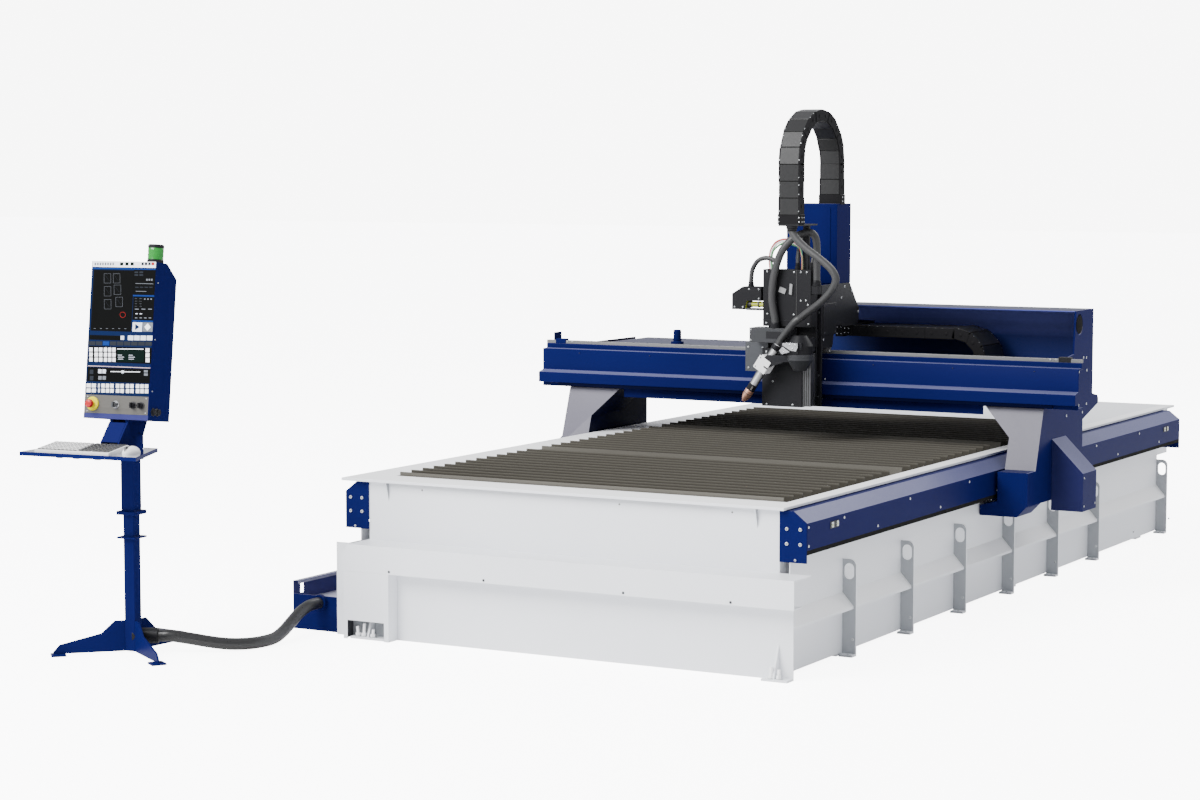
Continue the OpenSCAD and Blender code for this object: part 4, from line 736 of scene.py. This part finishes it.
# Three thin wires
for key, shift, rise in (("wire_red", 0, 0), ("keys_white", 5, -8), ("wire_green", 12, -17)):
    wire = [(-78 + shift, -414, 1505), (-82 + shift, -414, 1548), (-74 + shift, -415, 1596 + rise * 0.4),
            (-44 + shift, -417, 1634 + rise), (6, -421, 1648 + rise), (48, -426, 1638 + rise),
            (84, -430, 1606), (96, -432, 1570), (99, -434, 1540), (99, -434, 1506)]
    kit.tube(spline(wire), wire_r, key, 10)
# Two glands with short cables that go back
for x, y, top in ((70, -420, 1600), (138, -408, 1560)):
    kit.lathe((x, y, 1505), UP, [(15, 0), (15, 14), (12, 16), (12, 30), (10.5, 34)], "black", 6)
    stub = [(x, y, 1530), (x, y, top - 40), (x + 2, y + 8, top), (x + 8, y + 26, top + 36),
            (x + 10, y + 40, top + 60)]
    kit.tube(spline(stub), stub_r, "rubber", 14)
kit.build("ram_hose_set", "ram", stands_for=("ram_hoses",))

# Torch lead
tilt = math.radians(33.5)
pivot = Vector((-46, -520, 1059))
lead_dir = Vector((math.sin(tilt), 0, math.cos(tilt)))
turn_axis_point = Vector((130, -520, 1281))
lead_bend = [(101, -524, 1260), turn_axis_point, (176, -536, 1311), (246, -553, 1357), (303, -562, 1410),
             (331, -566, 1464), (318, -570, 1506), (280, -572, 1542), (238, -574, 1573), (182, -576, 1612),
             (137, -577, 1653), (111, -577, 1690), (111, -577, 1702), (111, -577, 1714)]
lead_steps = 6
lead = spline([pivot + t * lead_dir for t in (115, 132, 150)] + [Vector(p) for p in lead_bend], lead_steps)
split = 4 * lead_steps
kit = Kit()
kit.tube(lead[:split + 1], hose_r, "rubber", 24)
lower = kit.build("torch_lead_lower", None, stands_for=("torch_lead",))
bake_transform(lower)
# The upper part stays with the ram and meets the lower one in a ball on the turning axis
kit = Kit()
kit.tube(lead[split:], hose_r, "rubber", 24)
ball = [(hose_r * math.cos(math.radians(a)), hose_r * math.sin(math.radians(a)))
        for a in range(-80, 81, 16)]
kit.lathe(turn_axis_point, UP, ball, "rubber", 24)
kit.lathe((111, -577, 1714), (0, 0, -1), [(27, 0), (27, 10), (24, 12), (24, 20), (19, 24)], "black", 24)
kit.build("torch_lead_upper", "ram")

# Screen, drawn as thin plates; places are (left, top, right, bottom) on a slanted layout grid
grid_at = (150, 205)
grid_size = (412, 872)
grid_slant = 0.0625
grid_drop = 10
screen_x = (-151.5, 151.5)
screen_top = 641
screen_tall = 544


def on_screen(px, py):
    """Layout grid to millimetres across and up the console's head."""
    u = (px - (grid_at[0] - (py - grid_at[1]) * grid_slant)) / grid_size[0]
    v = (py - grid_at[1] - grid_drop * u) / grid_size[1]
    return screen_x[0] + (screen_x[1] - screen_x[0]) * u, screen_top - screen_tall * v


kit = Kit(head_m)


def tile(x0, y0, x1, y1, key, height=1.0):
    xm, ym = (x0 + x1) / 2, (y0 + y1) / 2
    across = (on_screen(x0, ym)[0], on_screen(x1, ym)[0])
    tall = (on_screen(xm, y1)[1], on_screen(xm, y0)[1])
    kit.box(across, (-height, 0), tall, key)


def tiles(x0, y0, x1, y1, columns, rows, key, gap):
    w, h = (x1 - x0 + gap) / columns, (y1 - y0 + gap) / rows
    for i in range(columns):
        for j in range(rows):
            tile(x0 + i * w, y0 + j * h, x0 + (i + 1) * w - gap, y0 + (j + 1) * h - gap, key, 1.8)


def bar(x0, y0, x1, y1, wide, key, height):
    a, b = Vector((*on_screen(x0, y0), 0)), Vector((*on_screen(x1, y1), 0))
    side = (b - a).normalized().cross(Vector(UP)) * wide / 2
    outline = [(q.x, q.y) for q in (a + side, b + side, b - side, a - side)]
    kit.prism("y", (-height, 0.0), outline, key)


kit.box(screen_x, (-0.6, 0), (97.5, 640.5), "ui_ground")
tile(150, 205, 562, 244, "ui_white")
tiles(163, 213, 290, 230, 8, 1, "ui_grey", 7)
tiles(330, 212, 420, 232, 3, 1, "ui_green", 14)
tiles(470, 213, 550, 231, 4, 1, "ui_panel", 7)
tile(534, 213, 552, 231, "ui_red", 2.2)
tile(147, 250, 560, 257, "ui_bright")
tile(145, 262, 410, 662, "ui_dark")
tile(416, 262, 556, 424, "ui_dark")
tiles(424, 272, 480, 300, 2, 2, "ui_panel", 8)
tiles(500, 320, 540, 332, 3, 1, "ui_grey", 6)
tile(430, 350, 545, 353, "ui_grey", 1.8)
tiles(428, 372, 540, 378, 4, 1, "ui_panel", 8)
tile(430, 400, 500, 403, "ui_grey", 1.8)
tile(412, 427, 550, 434, "ui_bright")
tile(411, 438, 546, 589, "ui_dark")
tiles(424, 448, 470, 500, 2, 4, "ui_grey", 16)
tiles(485, 448, 535, 456, 3, 1, "ui_grey", 12)
tiles(424, 515, 535, 520, 3, 1, "ui_grey", 18)
tiles(428, 545, 470, 550, 2, 1, "ui_light", 14)
tiles(424, 572, 530, 577, 4, 1, "ui_grey", 14)
tile(408, 592, 540, 599, "ui_bright")
tile(408, 604, 470, 664, "ui_light", 1.4)
tile(475, 604, 538, 664, "ui_grey", 1.4)
for at, key, shape in (((506, 634), "ui_white", ((0, 15), (-15, 0), (0, -15), (15, 0))),
                       ((438, 634), "ui_ground", ((-9, 12), (-9, -12), (12, 0)))):
    x, z = on_screen(*at)
    kit.prism("y", (-2.6, 0), [(x + a, z + b) for a, b in shape], key)
for x0, y0 in ((225, 285), (285, 285), (225, 370), (290, 360), (225, 455), (300, 440)):
    w, h = 44, 62
    corners = [(x0, y0), (x0 + w, y0), (x0 + w, y0 + h), (x0, y0 + h)]
    for p, q in zip(corners, corners[1:] + corners[:1]):
        bar(*p, *q, 0.6, "ui_grey", 1.6)
    bar(x0 + 8, y0 + 12, x0 + w - 10, y0 + h - 14, 0.7, "ui_panel", 1.8)
ring = [(345 + 18 * math.cos(k * math.pi / 8), 555 + 18 * math.sin(k * math.pi / 8)) for k in range(17)]
for p, q in zip(ring, ring[1:]):
    bar(*p, *q, 1.1, "ui_red", 2.0)
for k in range(6):
    bar(155 + 40 * k, 645, 168 + 40 * k, 645, 1.4, "ui_grey", 1.8)
tile(125, 690, 350, 720, "ui_dark")
tile(330, 692, 352, 718, "ui_light", 1.6)
tiles(378, 690, 535, 720, 4, 1, "ui_light", 6)
tiles(122, 729, 532, 755, 9, 1, "ui_panel", 4)
tile(214, 729, 256, 755, "ui_bright", 2.2)
tile(120, 764, 528, 868, "ui_dark")
for x0, x1, columns in ((124, 146, 1), (158, 210, 2), (220, 296, 3)):
    tiles(x0, 770, x1, 862, columns, 3, "ui_white", 7)
tile(306, 784, 482, 862, "ui_green", 1.6)
for y, long in ((818, 26), (831, 40), (844, 34)):
    for start in (312, 382):
        bar(start, y, start + long, y, 1.6, "ui_light", 2.2)
bar(308, 778, 478, 778, 3.0, "ui_white", 2.2)
tiles(492, 772, 516, 862, 1, 3, "ui_white", 7)
tile(112, 893, 520, 897, "ui_rose")
tile(110, 903, 518, 995, "ui_dark")
tiles(126, 915, 150, 985, 1, 2, "ui_panel", 12)
tiles(182, 912, 232, 938, 2, 1, "ui_light", 6)
tiles(182, 956, 232, 980, 2, 1, "ui_grey", 6)
bar(262, 926, 455, 926, 2.6, "ui_white", 2.2)
tile(336, 918, 350, 936, "ui_light", 3.0)
tiles(480, 914, 504, 950, 1, 2, "ui_grey", 6)
for x0, x1, columns, key in ((104, 166, 2, "ui_white"), (180, 192, 1, "ui_light"), (202, 282, 3, "ui_white"),
                             (297, 348, 2, "ui_white"), (362, 412, 2, "ui_white"), (427, 506, 3, "ui_white")):
    tiles(x0, 1006, x1, 1064, columns, 2, key, 7)
kit.build("screen_picture", "table")

# Console details
kit = Kit(head_m)
# Connectors and screws on the sides of the head
plug = [(15, 0), (15, 3), (13, 4), (13, 12), (11, 14), (8, 14)]
for y in (34, 62):
    kit.lathe((154.5, y, 36), (1, 0, 0), plug, "black", 24)
    kit.lathe((154.5, y, 36), (1, 0, 0), [(18, 0), (18, 1.5)], "keys_dark", 6)
for z in (120, 330, 560):
    kit.screw((154.5, 20, z), (1, 0, 0), 3.2, 1.6)
    kit.screw((-154.5, 20, z), (-1, 0, 0), 3.2, 1.6)
# Lens and caps of the stack light
ripple = [(31, 0), (32.5, 2), (31.5, 10), (32.5, 18), (31.5, 26), (32.5, 34), (32, 46), (30, 49)]
kit.lathe((122, 42, 656), UP, ripple, "green", 36)
kit.lathe((122, 42, 704), UP, [(33, 0), (33, 9), (30, 13.5), (22, 14.6)], "black", 36)
kit.lathe((122, 42, 644), UP, [(34, 0), (34, 9), (32, 12)], "black", 36)
# Lip under the control plate in a painted reflection colour, then the parts on the plate
kit.box((-154.3, 154.3), (-0.9, 0), (0.5, 21.5), "painted_mid_sheen")
kit.lathe((-113, 0, 60), FRONT, [(28.5, 0), (28.5, 5), (25, 8.5), (13, 9)], "yellow", 40)
kit.front_screws(0, product((-140, 140), (30, 89)), 2.6, 1.2)
for x in (81, 119):
    kit.box((x - 2.4, x + 2.4), (-20.5, -19), (60, 69), "keys_white")
    kit.lathe((x, -3, 60), FRONT, [(15.5, -3), (15.5, -1), (14, 0.5)], "keys_dark", 28)
kit.lathe((-4, -13, 60), FRONT, [(8.5, 0), (8.5, 3.6), (7, 4.4)], "keys_dark", 24)
kit.lathe((-4, -3, 60), FRONT, [(16.5, -3), (16.5, -1), (15, 0.5)], "chrome", 28)
kit.build("console_fittings", "table")

kit = Kit(head_m)
mushroom = [(10, 0), (11, 4), (15, 9), (17, 13), (17, 22), (14, 27), (7, 29)]
kit.lathe((-113, -9, 60), FRONT, mushroom, "red", 32)
kit.lathe((-113, 12, 60), FRONT, [(9, 0), (9, 22)], "keys_dark", 20)
kit.build("estop_cap", "estop", stands_for=("estop_button",))

kit = Kit(console_m)
deck = 856
# Keyboard
board = [(-327, deck), (-180, deck), (-180, deck + 24), (-186, deck + 25), (-321, deck + 8),
         (-327, deck + 6)]
kit.prism("x", (-240, 112), board, "keys_white")
key_front, key_back = -319, -187


def keys(x0, x1, columns, rows, key, ground):
    w, d = (x1 - x0) / columns, (key_back - key_front) / rows

    def rise(y):
        return deck + 8 + (y + 321) / 135 * 17

    low, high = rise(key_front) + 0.3, rise(key_back) + 0.3
    kit.add([(x0, key_front, low), (x1, key_front, low), (x1, key_back, high), (x0, key_back, high)],
            [[0, 1, 2, 3]], ground)
    for j in range(rows):
        for i in range(columns):
            x, y = x0 + i * w, key_front + j * d
            a, b, c, e = x + 1.2, x + w - 1.2, y + 1.4, y + d - 1.4
            foot = [(a, c, rise(c)), (b, c, rise(c)), (b, e, rise(e)), (a, e, rise(e))]
            top = [(a + 2, c + 2, rise(c) + 4.5), (b - 2, c + 2, rise(c) + 4.5),
                   (b - 2, e - 2, rise(e) + 4), (a + 2, e - 2, rise(e) + 4)]
            kit.add(foot + top, [[4, 5, 6, 7], [1, 2, 6, 5], [2, 3, 7, 6], [3, 0, 4, 7]], key)
            kit.add(foot[:2] + top[1::-1], [[0, 1, 2, 3]], "socket")


keys(-234, -44, 10, 6, "keys_white", "socket")
keys(-38, 20, 3, 6, "keys_dark", "keys_grey")
keys(26, 106, 4, 6, "keys_dark", "keys_grey")
# Mouse
kit.dome((158, -235, deck), 29, 51, 29, "keys_white", 9, 32)
kit.box((157, 159), (-285, -237), (deck + 12, deck + 29.4), "keys_grey")
kit.lathe((154, -267, deck + 24), (1, 0, 0), [(5, 0), (6.5, 2), (6.5, 6), (5, 8)], "keys_dark", 20)
kit.build("keyboard_and_mouse", "table", stands_for=("keyboard_set",))

kit = Kit(console_m)
kit.prism("z", (850, 855.6), [(-288.5, -361), (262.5, -361), (150.5, -30), (-288.5, -30)], "blue")
kit.prism("z", (855.6, 856), [(-287.5, -360), (261.2, -360), (149.8, -31), (-287.5, -31)], "gloss")
for outline in ([(-288.5, -361), (262.5, -361), (258.5, -357), (-284.5, -357)],
                [(-288.5, -357), (-284.5, -357), (-284.5, -30), (-288.5, -30)],
                [(262.5, -361), (150.5, -30), (146.5, -30), (258.5, -357)]):
    kit.prism("z", (840, 850), outline, "blue")
for x in (-120, -40, 60):
    kit.box((x, x + 26), (-352, -334), (836, 850), "charcoal", chamfer=2)
for x in (-230, 110):
    kit.screw((x, -70, 856), UP, 5, 2.4)
kit.build("shelf_plate", "table", bevel=0.6, stands_for=("console_shelf",))

kit = Kit(console_m)
cheek = [(-84, 961), (-150, 884), (-150, 858), (-30, 858), (-30, 900), (30, 900), (62, 958)]
for x in (-45, 37):
    kit.prism("x", (x, x + 8), cheek, "blue")
kit.prism("x", (-37, 37), [(-86, 960), (-150, 885), (-146, 882), (-82, 957)], "blue")
kit.build("neck_cheeks", "table", bevel=0.8)

# Table details
rib_first = -2020
rib_pitch = 607.7
kit = Kit()
cover_out = 1087
cover_rows = ((592, (-2493, -2151, -1467, -783, -99, 263, 950, 1639)),
              (517, (-2491, -1810, -1124, -440, 603, 1290, 1978)))
for side in (1, -1):
    for y0, d in ((-2510, -1), (2346, 1)):
        for x in (1002, 1060):
            for z in (524, 583):
                kit.screw((side * x, y0, z), (0, d, 0), 7.5, 5)
        kit.screw((side * 1038, y0, 461), (0, d, 0), 5, 3)
    # Screws of the rail covers, and a plate with two small blocks near each end
    for z, row in cover_rows:
        for y in row:
            kit.screw((side * cover_out, y, z), (side, 0, 0), 5.5, 2.6, "zinc", "zinc")
    for y0 in (-2247, 2094):
        kit.box(sorted((side * cover_out, side * 1088.5)), (y0 - 42, y0 + 42), (562, 590), "socket")
        for y in (y0 - 24, y0 + 24):
            kit.box(sorted((side * 1088.5, side * 1092)), (y - 8, y + 10), (566, 587), "zinc", chamfer=1)
            kit.box(sorted((side * 1090, side * 1093)), (y - 5, y + 2), (572, 580), "lime")
    # Brush seal, and a screw at each rib
    kit.box(sorted((side * 1075, side * 1085)), (-2498, 2334), (482, 501), "brush")
    for k in range(8):
        kit.screw((side * 1070, rib_first + rib_pitch * k, 73), (side * 0.1, -1, 0), 5, 2.5)
kit.front_screws(-2668, product((-762, -297, 357, 835), (301,)), 5.5, 2.6, "grey")
kit.front_screws(-2504, product((-700, 250, 760), (632,)), 4, 2, "keys_grey")
kit.build("table_screws", "table", stands_for=("table_fasteners",))

kit = Kit()
# Painted shade inside the left front leg's opening: a darker back plate, and dark grey side and top plates
kit.box((-991, -770), (-2602.5, -2600.5), (0.5, 84), "shade")
kit.box((-991, -989), (-2664, -2602.5), (0.5, 110), "grey")
kit.box((-990, -771), (-2664, -2602.5), (86, 88), "grey")
# Studs in the openings at the front legs
studs = ((-938, -2640, 52, -4), (-912, -2636, 66, 3), (-862, -2642, 44, 2), (1000, -2642, 58, 1),
         (1032, -2640, 48, 1))
for x, y, top, lean_x in studs:
    kit.lathe((x, y, 10), UP, [(14, 0), (14, 3), (11, 3.5)], "zinc", 20)
    kit.lathe((x, y, 13), UP, [(11, 0), (11, 11), (9.5, 12.5)], "rim", 6)
    kit.tube([(x, y, 12), (x + lean_x * 0.5, y, (12 + top) / 2), (x + lean_x, y, top)], 6.5, "rim", 14)
kit.build("anchor_studs", "table")

kit = Kit()
# Painted reflection: a light band along the trough's lip, and a light plate in its floor
kit.box((-1297, -1294), (-2570, 2346), (197, 207), "painted_bright_sheen")
kit.box((-1321.5, -1078.5), (-2566.5, -2190), (119, 122), "painted_pale_sheen")
for y in (-2540, -2210):
    for x in (-1305, -1095):
        kit.screw((x, y, 122), UP, 5, 2.4)
kit.build("trough_edge", "table")

# Gantry details
plate_screws = ((256, 1087), (298, 1084), (307, 1023), (195, 1022), (196, 863), (308, 862), (252, 827),
                (27, 828), (-84, 634))
kit = Kit()
for side in (1, -1):
    for y, z in plate_screws:
        kit.screw((side * 1250, y, z), (side, 0, 0), 6, 3)
    kit.screw((side * 1242, -454, 485), (side, 0, 0), 6, 3)
    kit.screw((side * 1242, -300, 585), (side, 0, 0), 5, 2.6)
    for y, z in ((-150, 430), (4, 430), (-150, 560)):
        kit.screw((side * 1403, y, z), (side, 0, 0), 4.5, 2.4)
    kit.front_screws(-239, ((side * 1262, 1110), (side * 1290, 1110)), 4, 2)
# Dark disc on the right side plate: painted shade of a hole
kit.lathe((1250, 191, 1247), (1, 0, 0), [(44, 0), (44, 1.2), (42, 1.6)], "brush", 36)
kit.front_screws(-277, product(range(-1200, 1201, 400), (1056,)), 4.5, 2.2, "blue")
# Screw holes of the upper rail
for x in range(-1240, 1250, 80):
    kit.lathe((x, -225.5, 1114), UP, [(5, 0), (5, 0.8)], "socket", 12)
# Cap and foot of a lifting post
kit.lathe((-790, 0, 1167), UP, [(19, -2), (17, 3), (10, 4)], "blue", 24)
kit.lathe((-790, 0, 1120), UP, [(23, 0), (23, 6)], "blue", 24)
# Small bracket at the beam's left end
kit.box((-1392, -1386), (-200, -130), (1098, 1150), "blue", chamfer=1)
kit.box((-1392, -1340), (-200, -130), (1098, 1104), "blue", chamfer=1)
kit.lathe((-1392, -165, 1130), (-1, 0, 0), [(9, 0), (9, 1)], "zinc", 18)
kit.build("gantry_screws", "gantry")

# Carriage details
kit = Kit()
saddle_screws = ((-264, 1305), (-82, 1413), (4, 1388), (84, 1285), (-323, 1169), (-120, 1360), (-250, 1112),
                 (-300, 980))
for y, z in saddle_screws:
    kit.screw((161, y, z), (1, 0, 0), 6, 3)
    kit.screw((-104, y, z), (-1, 0, 0), 6, 3)
# Cover on the right side plate
kit.box((161, 164), (-330, -180), (1190, 1340), "charcoal", chamfer=1)
for y in (-318, -192):
    for z in (1202, 1328):
        kit.screw((164, y, z), (1, 0, 0), 4, 2, "grey")
kit.front_screws(-347, product((-90, 28, 147), (900, 1000, 1300, 1400)), 5, 3, "grey")
# Foot of the tower
kit.box((-96, 153), (-172, -18), (1384, 1431), "blue")
# Bracket for the chain's end
kit.box((60, 161), (42, 288), (1223, 1230), "charcoal")
kit.box((60, 101), (42, 288), (1162, 1223), "black")
kit.front_screws(42, product((70, 90), (1176, 1208)), 4, 2)
# Front plate of the tower
kit.prism("y", (-179, -176), [(-70, 1545), (-40, 1520), (97, 1520), (127, 1545), (127, 1795), (-70, 1795)],
          "blue")
kit.build("carriage_screws", "carriage", bevel=0.6)

# Ram details
ram_front = -450
kit = Kit()
box_screws = ((-76, 1494), (64, 1494), (100, 1494), (130, 1494), (-74, 1293), (64, 1293), (100, 1359),
              (127, 1361), (137, 1340), (-80, 1250), (140, 1250))
kit.front_screws(ram_front, box_screws, 4.5, 2.4)
# Small plates and seams on the box
kit.prism("y", (-457, -450), [(-15, 1400), (18, 1389), (27, 1412), (-6, 1424)], "keys_grey")
kit.prism("y", (-459, -450), [(42, 1390), (55, 1386), (59, 1436), (46, 1439)], "keys_grey")
kit.box((76, 79), (-451.2, -449), (1236, 1503), "socket")
kit.box((-98, 76), (-451.6, -450), (1262, 1266), "charcoal")
kit.front_screws(ram_front, ((-75, 862), (61, 864), (-43, 972), (86, 1112), (-78, 1112)), 5, 2.6)
# Grooves of the extrusion
for x in (118, 128, 139):
    kit.box((x - 1.6, x + 1.6), (-441.2, -439), (862, 1106), "socket")
for y in (-428, -400):
    kit.box((148, 150), (y - 3, y + 3), (862, 1106), "socket")
kit.front_screws(-400, ((-198, 1128), (-121, 1128), (-197, 1028), (-120, 1028)), 5, 2.6)
kit.front_screws(ram_front, ((-248, 1322), (-204, 1322), (-172, 1408), (-120, 1408), (-120, 1364)), 4, 2)
kit.box((-190, -108), (-446, -404), (1307, 1317), "grey", chamfer=2)
kit.lathe((-195, -425, 1335), (-1, 0, 0), [(15, -30), (15, -4), (13, 0), (10, 2)], "keys_dark", 24)
kit.lathe((-124, -425, 1335), (-1, 0, 0), [(14.4, 0), (14.4, 7)], "socket", 24)
# Plate at the top end of the torch lead
kit.box((60, 152), (-596, -552), (1721, 1727), "zinc", chamfer=1)
kit.front_screws(-492, product((-140, 40), (1168, 1218)), 4, 2)
kit.box((-60, 16), (-493.2, -492), (1178, 1212), "charcoal")
kit.build("ram_screws", "ram")

# Bevel and torch details
kit = Kit()
kit.prism("y", (-594, -585), [(74, 1156), (116, 1133), (143, 1130), (152, 1150), (150, 1168), (100, 1169),
                              (74, 1166)], "chrome")
kit.prism("y", (-597, -585), [(58, 1132), (71, 1114), (90, 1120), (113, 1126), (74, 1149)], "chrome")
kit.prism("y", (-596, -583), [(70, 1150), (112, 1128), (116, 1132), (73, 1155)], "socket")
kit.box((60, 150), (-585, -579), (1118, 1168), "charcoal")
kit.front_screws(-594, ((82, 1124), (126, 1142), (140, 1158), (112, 1160)), 4, 3.5, "chrome")
kit.prism("x", (152, 165), [(-430, 1120), (-470, 1120), (-580, 1138), (-580, 1168), (-430, 1190)],
          "charcoal")
kit.build("bevel_bracket", "ram", bevel=0.8)

kit = Kit()
kit.lathe((130, -520, 1052), UP, [(22, 0), (30, 4), (46, 24), (63, 46), (63, 56)], "dark_grey", 40)
for a in range(6):
    d = math.radians(60 * a + 10)
    across, along = math.cos(d), math.sin(d)
    kit.screw((130 + 63 * across, -520 + 63 * along, 1103), (across, along, 0), 3.5, 2, "grey")
kit.lathe((-46, -560, 1059), FRONT, [(13, 0), (13, 3), (11, 4)], "chrome", 28)
kit.build("bevel_fittings", "bevel")

torch_m = Matrix.Translation(pivot) @ Matrix.Rotation(tilt, 4, "Y")
kit = Kit(torch_m)
# The torch holder's white block, with painted light
kit.box((-33.5, 33.5), (-47, -41), (-34, 34), "clamp_painted_glow", chamfer=1.5)
kit.box((12, 33.6), (-48, -40), (-4, 3), "socket")
kit.front_screws(-47, ((-24, 25), (-24, -25)), 4, 1.6, "chrome")
kit.lathe((0, 0, 35), UP, [(20.5, 0), (20.5, 52), (19, 54)], "torch", 40)
kit.lathe((0, 0, 90), UP, [(22, -4), (23.5, -2), (23.5, 20), (20, 26)], "black", 36)
kit.lathe((0, 0, -116), UP, [(20.5, 0), (20.5, 81)], "torch", 40)
kit.lathe((0, 0, -150), UP, [(21.5, 0), (21.5, 33), (20, 35)], "black", 36)
kit.box((6, 14), (-22.5, -18), (-143, -122), "silver")
kit.lathe((0, 0, -217), UP, [(7, 0), (9, 3), (17, 20), (22, 34), (22, 64), (21, 67)], "copper", 40)
kit.lathe((0, 0, -170), UP, [(22.5, 0), (22.5, 2)], "socket", 40)
kit.build("torch_fittings", "torch")

# Floor and light
floor_mesh = bpy.data.meshes.new("floor")
floor_bm = bmesh.new()
bmesh.ops.create_grid(floor_bm, x_segments=1, y_segments=1, size=60)
floor_bm.to_mesh(floor_mesh)
floor_bm.free()
floor = bpy.data.objects.new("floor", floor_mesh)
floor.location.z = -0.0005
collection.objects.link(floor)
floor_white = surface("floor_white", (0.90, 0.90, 0.905), (0.92, 0.92, 0.925), 0.7, grain=3,
                      grain_bump=0.0, broad=0.2, spec=0.1, glow=1.0)
floor_tree = floor_white.node_tree
seen = floor_tree.nodes.new("ShaderNodeLightPath").outputs["Is Camera Ray"]
floor_glow = ramp(floor_tree.nodes, floor_tree.links, seen, 0, 1, 0.25, 8.4)
floor_tree.links.new(floor_glow, floor_tree.nodes["Principled BSDF"].inputs["Emission Strength"])
floor_mesh.materials.append(floor_white)

world = bpy.data.worlds.new("studio")
bpy.context.scene.world = world
world.use_nodes = True
tree = world.node_tree
light_back = tree.nodes["Background"]
light_back.inputs["Color"].default_value = (0.95, 0.965, 1.0, 1)
light_back.inputs["Strength"].default_value = 0.95
seen_back = tree.nodes.new("ShaderNodeBackground")
seen_back.inputs["Color"].default_value = (1, 1, 1, 1)
seen_back.inputs["Strength"].default_value = 8.0
pick = tree.nodes.new("ShaderNodeMixShader")
tree.links.new(tree.nodes.new("ShaderNodeLightPath").outputs["Is Camera Ray"], pick.inputs["Fac"])
tree.links.new(light_back.outputs["Background"], pick.inputs[1])
tree.links.new(seen_back.outputs["Background"], pick.inputs[2])
tree.links.new(pick.outputs["Shader"], tree.nodes["World Output"].inputs["Surface"])


def area_light(name, at, to, size, power):
    data = bpy.data.lights.new(name, "AREA")
    data.shape = "RECTANGLE"
    data.size, data.size_y = size
    data.energy = power
    obj = bpy.data.objects.new(name, data)
    obj.location = at
    obj.rotation_euler = (Vector(to) - Vector(at)).to_track_quat("-Z", "Y").to_euler()
    collection.objects.link(obj)


area_light("key", (-4.0, -9.0, 8.0), (0, -0.5, 0.5), (7, 7), 2700)
area_light("rim", (2.0, 8.0, 8.0), (0, 0, 0.6), (9, 5), 700)
